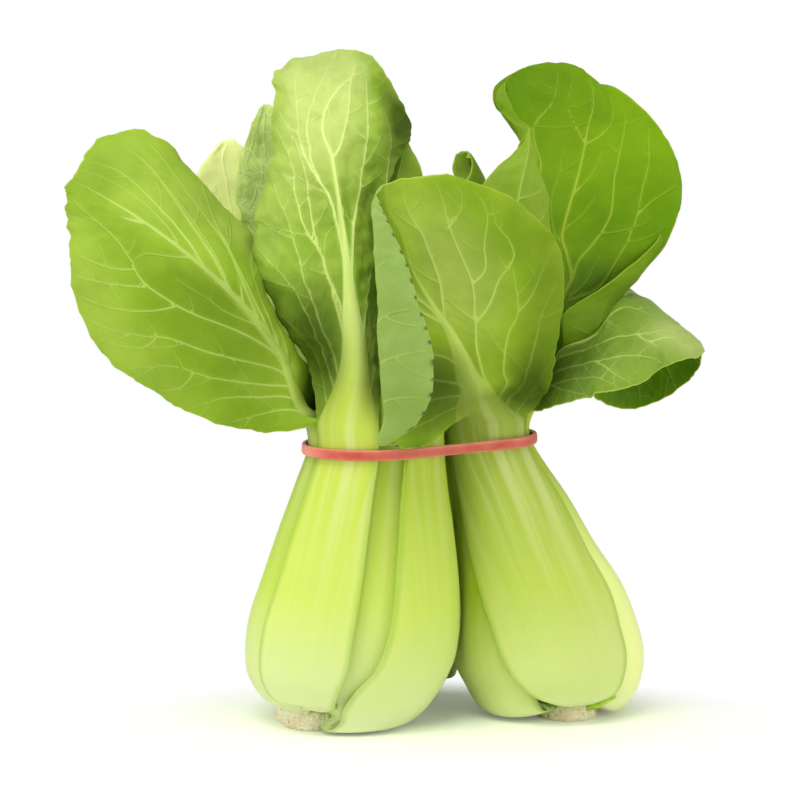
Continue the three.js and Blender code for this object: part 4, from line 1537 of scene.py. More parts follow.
LEFT_FRONT_BLADE = Blade(
    (
        ((-22, -17, 103), (-9, -29, 105), (-2, -20, 104)),
        ((-29, -14, 116), (-10, -29, 120), (-3, -21, 118)),
        ((-36, -12, 131), (-11, -28, 135), (-3, -21, 132)),
        ((-36, -12, 147), (-13, -25, 149), (-2, -20, 145)),
        ((-32, -10, 162), (-15, -20, 161), (3, -14, 159)),
        ((-32, -4, 176), (-16, -13, 174), (7, -9, 168)),
        ((-31, 0, 184), (-15, -5, 183), (2, -3, 179)),
        ((-24, 4, 187), (-13, 1, 189), (-4, 2, 187.5)),
    ),
    rib=10.5,
    rib_fade=24.0,
    blister=1.1,
    ruffle=1.1,
    # painted light (above 0) and painted shade (below 0) on this blade
    painted_light_patches=(
        PaintedLightPatch((0.88, -0.2), (20, 14), 1.8),
        PaintedLightPatch((0.12, 0), (16, 7), 0.3),
        PaintedLightPatch((0.66, -0.4), (14, 8), 0.3),
        PaintedLightPatch((0.82, 0.9), (14, 6), -1.2),
        PaintedLightPatch((0.2, -0.7), (20, 14), -1.1),
        PaintedLightPatch((0.45, 0.8), (22, 8), -0.25),
        PaintedLightPatch((0.5, -0.85), (18, 7), 0.3),
        PaintedLightPatch((0.22, 0.6), (22, 7), 0.55),
    ),
    veins=(
        Vein(((0.1, 0), (0.4, 0), (0.54, 0), (0.68, 0), (0.74, -0.1), (0.8, -0.05), (0.88, 0.15),
              (0.93, 0.4)), 2.0, 0),
        Vein(((0.68, 0), (0.72, 0.15), (0.8, 0.25), (0.9, 0.3), (0.95, 0.4)), 0.9),
        Vein(((0.36, -0.02), (0.5, -0.08), (0.58, -0.15), (0.66, -0.38), (0.72, -0.5),
              (0.8, -0.52), (0.92, -0.6)), 1.3),
        Vein(((0.6, -0.2), (0.68, -0.34), (0.76, -0.34), (0.84, -0.2), (0.94, -0.1)), 0.8),
        Vein(((0.2, -0.12), (0.3, -0.16), (0.36, -0.25), (0.44, -0.35), (0.54, -0.4),
              (0.62, -0.42), (0.7, -0.55), (0.78, -0.85)), 1.2),
        Vein(((0.22, -0.18), (0.42, -0.32), (0.5, -0.48), (0.58, -0.56), (0.66, -0.66),
              (0.74, -0.9)), 1.1),
        Vein(((0.12, -0.36), (0.24, -0.5), (0.36, -0.56), (0.44, -0.58), (0.52, -0.66),
              (0.62, -0.9)), 1.1),
        Vein(((0.08, -0.42), (0.18, -0.6), (0.3, -0.66), (0.38, -0.75), (0.46, -0.95)), 1.0),
        Vein(((0.03, -0.5), (0.1, -0.72), (0.2, -0.8), (0.3, -0.95)), 0.8),
        Vein(((0.3, 0.04), (0.4, 0.08), (0.5, 0.2), (0.6, 0.42), (0.72, 0.5), (0.84, 0.5),
              (0.92, 0.55)), 1.2),
        Vein(((0.08, 0.2), (0.2, 0.24), (0.34, 0.48), (0.48, 0.78), (0.58, 0.86)), 1.0),
        Vein(((0.05, 0.4), (0.14, 0.4), (0.22, 0.55), (0.28, 0.8)), 0.7),
        Vein(((0.62, 0.95), (0.72, 0.82), (0.84, 0.72)), 0.6),
        Vein(((0.03, 0.6), (0.12, 0.72), (0.2, 0.92)), 0.7),
        Vein(((0.42, -0.32), (0.48, -0.24), (0.5, -0.1)), 0.45, 0),
        Vein(((0.55, -0.52), (0.6, -0.62), (0.63, -0.78)), 0.45, 0),
        Vein(((0.66, 0.45), (0.7, 0.6), (0.76, 0.66)), 0.45, 0),
    ),
)
LEFT_RIGHT_BLADE = Blade(
    (
        ((6, -21, 98), (13, -20, 99), (19, -13, 98)),
        ((3, -20, 114), (12, -20, 115), (20, -11, 114)),
        ((2, -19, 130), (11, -20, 131), (20, -9, 130)),
        ((5, -18, 143), (12, -18, 144), (19, -10, 143)),
        ((9, -16, 150), (13, -16, 151), (17, -12, 150)),
    )
)
LEFT_SIDE_BLADE = Blade(
    (
        ((-19, -8, 93), (-24, -17, 92), (-24, -19, 86)),
        ((-21, -11, 101), (-26.5, -18, 99), (-36, -13, 84.5)),
        ((-26, -13, 108), (-29, -18.5, 105.5), (-48, -11, 86.5)),
        ((-32, -12, 119), (-36, -21, 115), (-64, -12, 94.5)),
        ((-35, -8, 132), (-47.5, -22, 127), (-80, -12, 107.5)),
        ((-43, -3, 143), (-57.5, -20, 136.5), (-87, -10, 126)),
        ((-56, 2, 157), (-68, -16, 144.5), (-88, -6, 140)),
        ((-68, 4, 166.5), (-77.5, -10, 149.5), (-88.5, -6, 147)),
        ((-81, 2, 163.5), (-87, -4, 153.5), (-88.5, -5, 151)),
    ),
    rib=4.0,
    rib_fade=18.0,
    teeth=0.6,
    ruffle=1.1,
    blister=0.3,
    # painted light (above 0) and painted shade (below 0) on this blade
    painted_light_patches=(
        PaintedLightPatch((0.25, 0.35), (20, 16), -0.25),
        PaintedLightPatch((0.5, 0.1), (16, 8), -0.35),
        PaintedLightPatch((0.55, 0.9), (34, 8), 0.3),
        PaintedLightPatch((0.05, -0.8), (12, 8), -1.4),
        PaintedLightPatch((0.45, -0.8), (30, 8), 0.5),
        PaintedLightPatch((0.75, -0.4), (20, 14), 0.2),
    ),
    veins=(
        Vein(((0.02, 0), (0.2, -0.02), (0.34, -0.05), (0.5, -0.05), (0.66, 0), (0.82, 0.05),
              (0.97, 0.05)), 3.2, 2),
        Vein(((0.22, 0), (0.34, 0.16), (0.4, 0.25), (0.46, 0.34), (0.52, 0.4), (0.6, 0.48),
              (0.66, 0.46), (0.74, 0.48), (0.86, 0.62), (0.92, 0.75)), 1.1),
        Vein(((0.6, 0), (0.63, 0.15), (0.66, 0.3), (0.65, 0.45)), 0.55, 0),
        Vein(((0.17, 0.05), (0.26, 0.3), (0.36, 0.5), (0.44, 0.6), (0.48, 0.72),
              (0.56, 0.95)), 1.1),
        Vein(((0.46, 0.65), (0.46, 0.8), (0.52, 0.95)), 0.6, 0),
        Vein(((0.5, 0.4), (0.52, 0.55), (0.56, 0.75), (0.61, 0.95)), 0.7, 1),
        Vein(((0.58, 0.48), (0.6, 0.62), (0.64, 0.85), (0.66, 0.95)), 0.7, 1),
        Vein(((0.63, 0.48), (0.65, 0.64), (0.71, 0.9)), 0.6, 1),
        Vein(((0.14, 0.1), (0.2, 0.4), (0.3, 0.64), (0.38, 0.75), (0.43, 0.95)), 1.0),
        Vein(((0.34, 0.7), (0.33, 0.85), (0.35, 0.97)), 0.55, 0),
        Vein(((0.1, 0.15), (0.18, 0.52), (0.25, 0.75), (0.28, 0.97)), 0.9, 2),
        Vein(((0.06, 0.3), (0.14, 0.65), (0.2, 0.95)), 0.8, 2),
        Vein(((0.35, 0), (0.42, 0.13), (0.48, 0.16), (0.56, 0.24)), 0.6, 1),
        Vein(((0.56, -0.05), (0.7, -0.2), (0.8, -0.3), (0.88, -0.4), (0.98, -0.5)), 0.9, 2),
        Vein(((0.44, -0.05), (0.62, -0.27), (0.72, -0.42), (0.82, -0.6), (0.92, -0.75)), 0.85, 2),
        Vein(((0.36, -0.1), (0.46, -0.27), (0.58, -0.48), (0.68, -0.62), (0.8, -0.78),
              (0.88, -0.9)), 0.8, 2),
        Vein(((0.28, -0.05), (0.42, -0.27), (0.54, -0.44), (0.64, -0.62), (0.74, -0.95)), 0.75, 1),
        Vein(((0.26, -0.1), (0.4, -0.4), (0.48, -0.6), (0.55, -0.95)), 0.7, 1),
        Vein(((0.2, -0.1), (0.32, -0.45), (0.4, -0.7), (0.45, -0.95)), 0.6, 1),
        Vein(((0.5, -0.15), (0.66, -0.38), (0.78, -0.56), (0.88, -0.7)), 0.5, 0),
        Vein(((0.66, -0.05), (0.78, -0.18), (0.9, -0.25), (0.99, -0.3)), 0.5, 0),
    ),
)
LEFT_BACK_PALE_BLADE = Blade(
    (
        ((-14, 5, 100), (-20, 5, 99), (-25, 0, 99)),
        ((-19, 12, 110), (-26, 9, 109), (-33, 4, 109)),
        ((-28, 19, 126), (-37, 14, 127), (-46, 8, 126)),
        ((-36, 23, 140), (-44, 19, 141), (-52, 12, 138)),
        ((-39, 25, 151), (-46, 22, 151), (-54, 16, 150)),
        ((-41, 26, 159), (-47, 24, 158), (-53, 20, 155)),
        ((-43, 26, 162), (-45, 26, 162.5), (-48, 25, 161)),
    ),
    midrib_vein=0.8,
    side_veins=5,
)
LEFT_BACK_DARK_BLADE = Blade(
    (
        ((2, 7, 100), (-6, 7, 100), (-12, 4, 99)),
        ((-4, 11, 112), (-13, 9, 112), (-20, 5, 110)),
        ((-12, 16, 128), (-23, 13, 128), (-34, 8, 127)),
        ((-19, 18, 145), (-30, 15, 144), (-42, 10, 144)),
        ((-25, 19, 157), (-34, 16, 155), (-42, 13, 155)),
        ((-28, 19, 168), (-35, 17, 165), (-39, 16, 166)),
        ((-32, 19, 172), (-34, 19, 173), (-36, 18, 172)),
    ),
    midrib_vein=0.8,
    side_veins=5,
    blister=0.8,
)
LEFT_BACK_RIGHT_BLADE = Blade(
    (
        ((17, -4, 99), (12, 0, 100), (6, 2, 99)),
        ((22, -3, 115), (14, 2, 116), (5, 4, 115)),
        ((24, -2, 130), (15, 3, 131), (6, 5, 130)),
        ((22, -1, 142), (15, 3, 143), (9, 4, 142)),
        ((18, 1, 148), (15, 3, 149), (12, 3, 148)),
    )
)
LEFT_INNER_BLADE = Blade(
    (
        ((-12, -14, 100), (-4, -17, 101), (6, -13, 100)),
        ((-14, -12, 118), (-3, -16, 119), (10, -12, 118)),
        ((-12, -10, 136), (-1, -14, 137), (12, -10, 135)),
        ((-6, -9, 150), (2, -11, 151), (11, -8, 149)),
        ((-1, -8, 158), (4, -9, 160), (9, -8, 157)),
        ((2, -7, 163), (5, -7, 164), (6.5, -7, 162)),
    )
)
LEFT_HEART_BLADE = Blade(
    (
        ((-16, -4, 98), (-20, -8, 99), (-18, -14, 98)),
        ((-15, -1, 113), (-21, -8, 115), (-19, -14, 113)),
        ((-15, 0, 126), (-21, -6, 128), (-20, -12, 126)),
        ((-18, -1, 136), (-22, -5, 138), (-22, -9, 136)),
        ((-21, -3, 142), (-23, -5, 143), (-23, -7, 142)),
    )
)


def left_head() -> list[Leaf]:
    """Leaves of the left head.

    Returns:
        The leaves, outer ones first.
    """
    return [
        Leaf(
            "left_leaf_front", LEFT_BULB,
            Petiole((235, 241, 244), (26, 29, 29), lift=5.5, narrow=0.5), LEFT_FRONT_BLADE,
            FRONT_LEFT, pitch=0.5, seed=11,
        ),
        Leaf(
            "left_leaf_right", LEFT_BULB, Petiole((289, 326, 325), (48, 37, 28)),
            LEFT_RIGHT_BLADE, PLAIN, seed=12,
        ),
        Leaf(
            "left_leaf_side", LEFT_BULB, Petiole((190, 195, 195), (34, 36, 34), tuck=(0, 5)),
            LEFT_SIDE_BLADE, SIDE, pitch=0.55, seed=13,
        ),
        Leaf(
            "left_leaf_back_pale", LEFT_BULB,
            Petiole((130, 130, 130), (34, 36, 32), tuck=(5, 0)), LEFT_BACK_PALE_BLADE, PALE_TIP,
            seed=14,
        ),
        Leaf(
            "left_leaf_back_dark", LEFT_BULB, Petiole((80, 82, 88), (30, 32, 28), tuck=(5, 0)),
            LEFT_BACK_DARK_BLADE, GREY_GREEN, seed=15,
        ),
        Leaf(
            "left_leaf_back_right", LEFT_BULB, Petiole((30, 28, 35), (30, 32, 28), tuck=(5, 0)),
            LEFT_BACK_RIGHT_BLADE, PLAIN, seed=16,
        ),
        Leaf(
            "left_leaf_inner", LEFT_BULB,
            Petiole((268, 277, 285), (24, 24, 24), depth=(2.5, 2.5, 3), lift=1, narrow=0.2),
            LEFT_INNER_BLADE, PLAIN, seed=17,
        ),
        Leaf(
            "left_leaf_heart", LEFT_BULB,
            Petiole((180, 180, 180), (30, 30, 38), depth=(12, 10, 5)), LEFT_HEART_BLADE, PLAIN,
            seed=18,
        ),
    ]


# ------------------------------------------------------------------ the right head

RIGHT_FRONT_BLADE = Blade(
    (
        ((17, -10, 88), (20, -13, 89), (27, -15, 90), (40, -6, 89)),
        ((12, -26, 83), (17, -21, 87), (25, -17, 94), (42, -8, 91)),
        ((0, -33, 84), (1, -33, 86), (24, -20, 98), (44, -11, 95)),
        ((8, -37, 90), (0, -35, 92), (22, -23, 101), (45, -13, 99)),
        ((12, -40, 99), (-1, -37, 101), (20, -26, 107), (46, -16, 105)),
        ((12, -42, 111), (-2, -39, 112), (17, -28, 114), (47, -18, 113)),
        ((9, -42, 121), (-2, -40, 124), (12, -30, 122), (48, -19, 124)),
        ((6, -41, 132), (-3, -40, 135), (7, -32, 131), (47, -21, 136)),
        ((2, -39, 141), (-3, -38, 143), (4, -34, 141), (41, -24, 144)),
        ((-1, -37, 147), (-3, -36, 149), (0, -34, 149), (32, -27, 151)),
        ((-2, -36, 151), (-2, -35, 152), (1, -34, 155), (16, -31, 157)),
    ),
    across=(-1, -0.45, 0.1, 1),
    midrib=0.1,
    rib=13.0,
    rib_fade=23.0,
    ruffle=0.5,
    blister=0.4,
    # painted light (above 0) and painted shade (below 0) on this blade
    painted_light_patches=(
        PaintedLightPatch((-0.65, 0.8), (22, 7), 0.35),
        PaintedLightPatch((0.1, 0.1), (14, 7), 0.3),
        PaintedLightPatch((0.34, -0.05), (10, 8), -0.7),
        PaintedLightPatch((0.7, 0.35), (22, 14), 0.8),
        PaintedLightPatch((0.55, 0.9), (30, 10), -0.5),
        PaintedLightPatch((0.2, 0.75), (16, 10), -1.1),
        PaintedLightPatch((0.15, -0.1), (16, 9), -0.9),
        PaintedLightPatch((0.75, 0.05), (12, 6), -0.4),
    ),
    veins=(
        Vein(((0.1, 0.1), (0.3, 0.1), (0.42, 0.1), (0.52, 0.1), (0.6, 0.04), (0.68, -0.12),
              (0.8, -0.3)), 2.0, 0),
        Vein(((0.52, 0.1), (0.62, 0.2), (0.7, 0.26), (0.8, 0.26), (0.88, 0.26), (0.96, 0.3)), 1.0),
        Vein(((0.2, 0.2), (0.3, 0.24), (0.42, 0.26), (0.54, 0.36), (0.66, 0.45), (0.82, 0.46),
              (0.9, 0.54), (0.97, 0.65)), 1.2, 2),
        Vein(((0.66, 0.45), (0.7, 0.56), (0.78, 0.62), (0.86, 0.74), (0.94, 0.85)), 0.8, 2),
        Vein(((0.84, 0.46), (0.88, 0.6), (0.96, 0.8)), 0.6, 1),
        Vein(((0.52, 0.35), (0.58, 0.5), (0.66, 0.62), (0.72, 0.74), (0.78, 0.76), (0.84, 0.76),
              (0.92, 0.88)), 0.9, 2),
        Vein(((0.08, 0.42), (0.2, 0.44), (0.32, 0.46), (0.46, 0.56), (0.54, 0.68), (0.64, 0.71),
              (0.71, 0.71)), 1.1, 2),
        Vein(((0.55, 0.69), (0.6, 0.8), (0.66, 0.87), (0.72, 0.95)), 0.7, 1),
        Vein(((0.04, 0.52), (0.16, 0.6), (0.3, 0.7), (0.44, 0.8), (0.54, 0.86),
              (0.62, 0.96)), 1.0, 2),
        Vein(((0.02, 0.7), (0.08, 0.78), (0.16, 0.8), (0.28, 0.87), (0.38, 0.96)), 0.8, 2),
        Vein(((0.34, 0.06), (0.39, 0), (0.43, -0.12), (0.5, -0.3), (0.56, -0.6),
              (0.6, -0.9)), 1.0, 3),
        Vein(((0.26, 0.04), (0.31, -0.05), (0.36, -0.2), (0.42, -0.4), (0.46, -0.7),
              (0.48, -0.95)), 1.0, 3),
        Vein(((0.14, 0.02), (0.24, -0.06), (0.28, -0.2), (0.32, -0.4), (0.36, -0.7),
              (0.37, -0.95)), 0.9, 3),
        Vein(((0.06, -0.02), (0.16, -0.14), (0.2, -0.3), (0.24, -0.55), (0.26, -0.9)), 0.8, 2),
        Vein(((0.52, 0.08), (0.6, -0.1), (0.66, -0.35), (0.72, -0.7)), 0.8, 2),
    ),
)
RIGHT_LEFT_BLADE = Blade(
    (
        ((22, -11, 98), (27, -14, 99), (33, -12, 98)),
        ((23, -14, 111), (31, -16, 111), (41, -11, 110)),
        ((22, -13, 129), (33, -15, 128), (46, -9, 124)),
        ((23, -11, 144), (35, -13, 143), (46, -6, 136)),
        ((27, -9, 153), (37, -10, 154), (44, -4, 148)),
        ((34, -7, 161), (39, -7, 162), (42, -4, 158)),
        ((38, -5, 165), (39, -5, 168), (40.5, -4, 165)),
    )
)
RIGHT_DROOPING_BLADE = Blade(
    (
        ((42, -6, 89), (44, -2, 94), (45, 2, 96), (45, 5, 94)),
        ((47, -12, 91), (48, -4, 101), (50, 4, 106), (51, 9, 100)),
        ((55, -15, 94), (56, -4, 105), (59, 14, 108), (58, 24, 91)),
        ((62, -15, 96), (64, -3, 108), (66, 27, 119), (63, 34, 85.5)),
        ((70, -13, 98), (71, -3, 109), (74, 28, 115), (70, 37, 83.5)),
        ((77, -9, 102), (78, 0, 110), (81, 26, 109), (78, 34, 86)),
        ((83, -3, 103), (84, 5, 108), (86, 22, 105.5), (85, 28, 92)),
        ((87, 4, 103), (89, 8, 104), (89, 16, 102.5), (89, 19, 99)),
    ),
    across=(-1, -0.4, 0.3, 1),
    midrib=-0.05,
    rib=4.0,
    rib_fade=12.0,
    ruffle=0.9,
    blister=0.6,
    # painted light (above 0) and painted shade (below 0) on this blade
    painted_light_patches=(
        PaintedLightPatch((0.3, -0.5), (20, 14), -1.0),
        PaintedLightPatch((0.5, 0.2), (30, 6), 0.6),
        PaintedLightPatch((0.88, -0.4), (14, 14), 1.5),
    ),
    veins=(
        Vein(((0.3, -0.05), (0.44, -0.1), (0.54, -0.1), (0.64, -0.08), (0.74, -0.1)), 1.2, 2),
        Vein(((0.2, -0.1), (0.34, -0.28), (0.48, -0.34), (0.66, -0.35), (0.8, -0.34),
              (0.92, -0.38)), 1.2, 3),
        Vein(((0.12, -0.12), (0.2, -0.4), (0.32, -0.54), (0.46, -0.6), (0.6, -0.6), (0.7, -0.7),
              (0.78, -0.95)), 1.1, 2),
        Vein(((0.46, -0.6), (0.56, -0.76), (0.64, -0.95)), 0.8, 1),
        Vein(((0.08, -0.15), (0.14, -0.5), (0.22, -0.66), (0.36, -0.74), (0.5, -0.83),
              (0.6, -0.96)), 0.9, 1),
        Vein(((0.5, -0.83), (0.56, -0.7), (0.6, -0.61)), 0.5, 0),
        Vein(((0.66, -0.35), (0.72, -0.52), (0.76, -0.7)), 0.7, 0),
        Vein(((0.72, -0.52), (0.82, -0.55), (0.88, -0.8)), 0.6, 0),
        Vein(((0.2, -0.62), (0.28, -0.8), (0.36, -0.92), (0.42, -0.98)), 0.6, 1),
        Vein(((0.3, 0.1), (0.42, 0.45), (0.5, 0.7), (0.56, 0.95)), 0.9, 3),
        Vein(((0.44, 0.1), (0.56, 0.45), (0.66, 0.7), (0.72, 0.95)), 0.9, 3),
        Vein(((0.6, 0.05), (0.7, 0.4), (0.8, 0.7), (0.86, 0.95)), 0.8, 2),
        Vein(((0.16, 0.1), (0.28, 0.5), (0.36, 0.75), (0.4, 0.95)), 0.8, 2),
    ),
)
RIGHT_UPPER_BLADE = Blade(
    (
        ((48, 8, 97), (47, 9, 98), (44, 9, 98), (41, 9, 98.5), (39, 9, 99)),
        ((49, 2, 107), (55, 5, 105), (47.5, 8, 110), (44, 6, 111.5), (42, 5, 112)),
        ((49, 1, 115), (61, 8, 112), (48.5, 10, 118), (44, 6, 120), (42, 4, 122)),
        ((56, 6, 119.5), (66.5, 15, 118.5), (51.5, 12, 123.5), (45.5, 8, 125.5), (42, 4, 127.5)),
        ((66, 12, 125), (72, 19, 125), (50.5, 13, 130), (45, 9, 132.5), (41.5, 5, 135)),
        ((76, 19, 133.5), (77.5, 21, 133), (49, 14, 136), (44, 9, 139.5), (40, 5, 144)),
        ((82.5, 23, 144), (79.5, 22, 144), (51, 15, 144), (41.5, 9.5, 148), (38, 6, 153)),
        ((82, 25, 155.5), (77.5, 23, 155), (54, 18, 154), (41.5, 12, 157.5), (36, 7, 161.5)),
        ((75.5, 28, 167.5), (69, 27, 167.5), (56.5, 22, 165.5), (33, 14, 170), (40, 8, 167)),
        ((65.5, 29, 176.5), (62, 28, 176), (58, 24, 172.5), (31, 19, 174.5), (35, 14, 172)),
        ((60, 29, 177.5), (59, 29, 178), (56, 26, 179), (32.5, 22, 178.5), (33, 20, 178.5)),
        ((55.5, 29, 182), (53.5, 28.5, 183), (48.5, 27.5, 184), (40.5, 25, 183.5), (38, 24, 182.5)),
    ),
    across=(-1, -0.6, 0, 0.5, 1),
    rib=3.5,
    rib_fade=12.0,
    ruffle=0.5,
    blister=0.25,
    # painted light (above 0) and painted shade (below 0) on this blade
    painted_light_patches=(
        PaintedLightPatch((0.36, -0.3), (14, 16), -1.0),
        PaintedLightPatch((0.9, 0.3), (20, 14), -0.3),
    ),
    veins=(
        Vein(((0.05, 0), (0.36, 0), (0.5, 0), (0.64, 0), (0.76, 0), (0.86, 0),
              (0.93, -0.05)), 1.8, 0),
        Vein(((0.38, -0.02), (0.44, -0.1), (0.5, -0.2), (0.58, -0.26), (0.68, -0.26),
              (0.76, -0.36), (0.82, -0.6)), 1.1, 2),
        Vein(((0.32, -0.1), (0.38, -0.28), (0.46, -0.35), (0.58, -0.4), (0.66, -0.44),
              (0.74, -0.6), (0.78, -0.8)), 0.9, 2),
        Vein(((0.58, -0.4), (0.62, -0.52), (0.65, -0.75)), 0.6, 0),
        Vein(((0.33, -0.08), (0.4, -0.18), (0.48, -0.26)), 0.55, 0),
        Vein(((0.63, 0), (0.68, -0.1), (0.74, -0.16)), 0.5, 0),
        Vein(((0.53, 0), (0.58, -0.1), (0.63, -0.16)), 0.5, 0),
        Vein(((0.76, 0), (0.82, 0.1), (0.88, 0.15), (0.94, 0.08)), 0.65, 1),
        Vein(((0.76, 0), (0.79, -0.16), (0.81, -0.27), (0.87, -0.6)), 0.65, 1),
        Vein(((0.62, 0.5), (0.72, 0.4), (0.82, 0.26), (0.9, 0.2), (0.96, 0.16)), 0.9, 2),
        Vein(((0.5, 0.05), (0.6, 0.2), (0.7, 0.18), (0.76, 0.12)), 0.5, 1),
        Vein(((0.3, 0.05), (0.42, 0.4), (0.55, 0.7), (0.7, 0.85), (0.85, 0.75)), 0.7, 1),
        Vein(((0.1, -0.1), (0.2, -0.4), (0.3, -0.7), (0.42, -0.9)), 0.7, 1),
    ),
)
RIGHT_BACK_BLADE = Blade(
    (
        ((33, 14, 100), (27, 17, 100), (21, 14, 100)),
        ((40, 20, 116), (30, 24, 116), (21, 19, 116)),
        ((42, 25, 132), (31, 30, 132), (22, 25, 131)),
        ((39, 28, 143), (31, 33, 144), (25, 29, 142)),
        ((34, 31, 149), (31, 33, 150), (28, 31, 149)),
    )
)
RIGHT_HEART_BLADE = Blade(
    (
        ((31, -7, 99), (35, -6, 100), (39, -2, 99)),
        ((31, -6, 112), (36, -5, 114), (41, 0, 112)),
        ((33, -5, 122), (37, -4, 124), (40, -1, 122)),
        ((35, -4, 128), (37, -4, 129), (39, -3, 128)),
    )
)


def right_head() -> list[Leaf]:
    """Leaves of the right head.

    Returns:
        The leaves, outer ones first.
    """
    return [
        Leaf(
            "right_leaf_front", RIGHT_BULB,
            Petiole((293, 280, 268), (38, 42, 72), lift=4, narrow=0.9), RIGHT_FRONT_BLADE,
            FRONT_RIGHT, pitch=0.5, seed=21,
        ),
        Leaf(
            "right_leaf_left", RIGHT_BULB,
            Petiole((222, 203, 215), (50, 38, 34), depth=(0, 0, 0.8), tuck=(0, 3)),
            RIGHT_LEFT_BLADE, BEHIND, pitch=0.7, seed=22,
        ),
        Leaf(
            "right_leaf_drooping", RIGHT_BULB,
            Petiole((345, 347, 352), (34, 34, 34), tuck=(5, 0)), RIGHT_DROOPING_BLADE, DROOPING,
            pitch=0.55, seed=23,
        ),
        Leaf(
            "right_leaf_upper", RIGHT_BULB, Petiole((38, 38, 45), (30, 32, 34), tuck=(5, 0)),
            RIGHT_UPPER_BLADE, UPPER, pitch=0.55, seed=24,
        ),
        Leaf(
            "right_leaf_back", RIGHT_BULB, Petiole((110, 108, 112), (38, 38, 34), tuck=(0, 5)),
            RIGHT_BACK_BLADE, PLAIN, seed=25,
        ),
        Leaf(
            "right_leaf_heart", RIGHT_BULB,
            Petiole((310, 310, 318), (30, 30, 30), depth=(11, 8, 5.6)), RIGHT_HEART_BLADE, PLAIN,
            seed=26,
        ),
    ]


# ------------------------------------------------------------------ the back head

BACK_BACK_BLADE = Blade(
    (
        ((15, 33, 99), (8, 36, 99), (1, 33, 99)),
        ((22, 40, 111), (8, 45, 112), (-7, 40, 111)),
        ((29, 47, 123), (8, 54, 122), (-14, 47, 123)),
        ((30, 54, 134), (8, 62, 130), (-15, 54, 134)),
        ((24, 61, 142), (8, 67, 138), (-9, 61, 142)),
        ((15, 66, 145), (8, 69, 143), (0, 66, 145)),
    )
)
BACK_RIGHT_BLADE = Blade(
    (
        ((22, 22, 96), (21, 29, 96), (17, 32, 95)),
        ((36, 29, 100), (29, 38, 100), (22, 41, 98)),
        ((50, 36, 107), (40, 48, 104), (27, 53, 101)),
        ((60, 44, 111), (50, 57, 107), (35, 64, 104)),
        ((62, 53, 111), (56, 63, 108), (44, 69, 106)),
        ((60, 60, 110), (57, 65, 109), (51, 68, 108)),
    )
)
BACK_LEFT_BLADE = Blade(
    (
        ((0, 32, 97), (-5, 27, 98), (-6, 21, 98)),
        ((-7, 43, 102), (-15, 36, 105), (-17, 26, 105)),
        ((-16, 56, 109), (-27, 46, 113), (-32, 32, 113)),
        ((-26, 65, 117), (-38, 54, 121), (-46, 40, 121)),
        ((-37, 69, 124), (-46, 60, 127), (-53, 49, 127)),
        ((-44, 68, 128), (-49, 63, 130), (-53, 57, 129)),
    )
)
BACK_FRONT_LEFT_BLADE = Blade(
    (
        ((-3, 17, 98), (1, 13, 99), (6, 12, 98)),
        ((-7, 22, 112), (0, 17, 114), (7, 15, 112)),
        ((-9, 28, 126), (0, 22, 128), (8, 20, 126)),
        ((-7, 32, 138), (0, 27, 140), (7, 25, 138)),
        ((-3, 32, 145), (0, 29, 146), (3, 28, 145)),
    )
)
BACK_FRONT_RIGHT_BLADE = Blade(
    (
        ((9, 9, 100), (14, 9, 101), (18, 12, 100)),
        ((9, 8, 118), (15, 8, 119), (20, 12, 118)),
        ((11, 9, 136), (17, 9, 137), (22, 13, 136)),
        ((17, 14, 145), (27, 16, 145), (20, 9, 145)),
        ((19, 16, 150), (27.5, 17, 150), (21, 10, 150)),
        ((18.5, 17, 155), (25.5, 18, 154.5), (23.5, 13, 154)),
        ((19.5, 18, 159), (22, 18, 159.5), (23, 17, 158)),
    )
)
BACK_HEART_BLADE = Blade(
    (
        ((14, 22, 98), (11, 25, 99), (6, 25, 98)),
        ((15, 26, 110), (11, 29, 111), (6, 28, 110)),
        ((14, 31, 119), (11, 32, 120), (8, 32, 119)),
    )
)


def back_head() -> list[Leaf]:
    """Leaves of the back head.

    Returns:
        The leaves, outer ones first.
    """
    return [
        Leaf(
            "back_leaf_back", BACK_BULB, Petiole((90, 90, 90), (38, 38, 36)), BACK_BACK_BLADE,
            PLAIN, pitch=0.7, seed=31,
        ),
        Leaf(
            "back_leaf_right", BACK_BULB,
            Petiole((24, 24, 24), (38, 38, 36), depth=(0, 0, -2), tuck=(0, 2.6)),
            BACK_RIGHT_BLADE, PLAIN, pitch=0.7, seed=32,
        ),
        Leaf(
            "back_leaf_left", BACK_BULB, Petiole((156, 156, 156), (40, 40, 36), tuck=(2.6, 0)),
            BACK_LEFT_BLADE, PLAIN, pitch=0.7, seed=33,
        ),
        Leaf(
            "back_leaf_front_left", BACK_BULB,
            Petiole((230, 230, 235), (36, 36, 32), tuck=(5, 0)), BACK_FRONT_LEFT_BLADE, PLAIN,
            seed=34,
        ),
        Leaf(
            "back_leaf_front_right", BACK_BULB,
            Petiole((305, 305, 305), (40, 40, 36), tuck=(5, 5)), BACK_FRONT_RIGHT_BLADE, PLAIN,
            seed=35,
        ),
        Leaf(
            "back_leaf_heart", BACK_BULB, Petiole((60, 60, 60), (30, 30, 34), depth=(11, 8, 6)),
            BACK_HEART_BLADE, PLAIN, seed=36,
        ),
    ]


# ------------------------------------------------------------------ studio


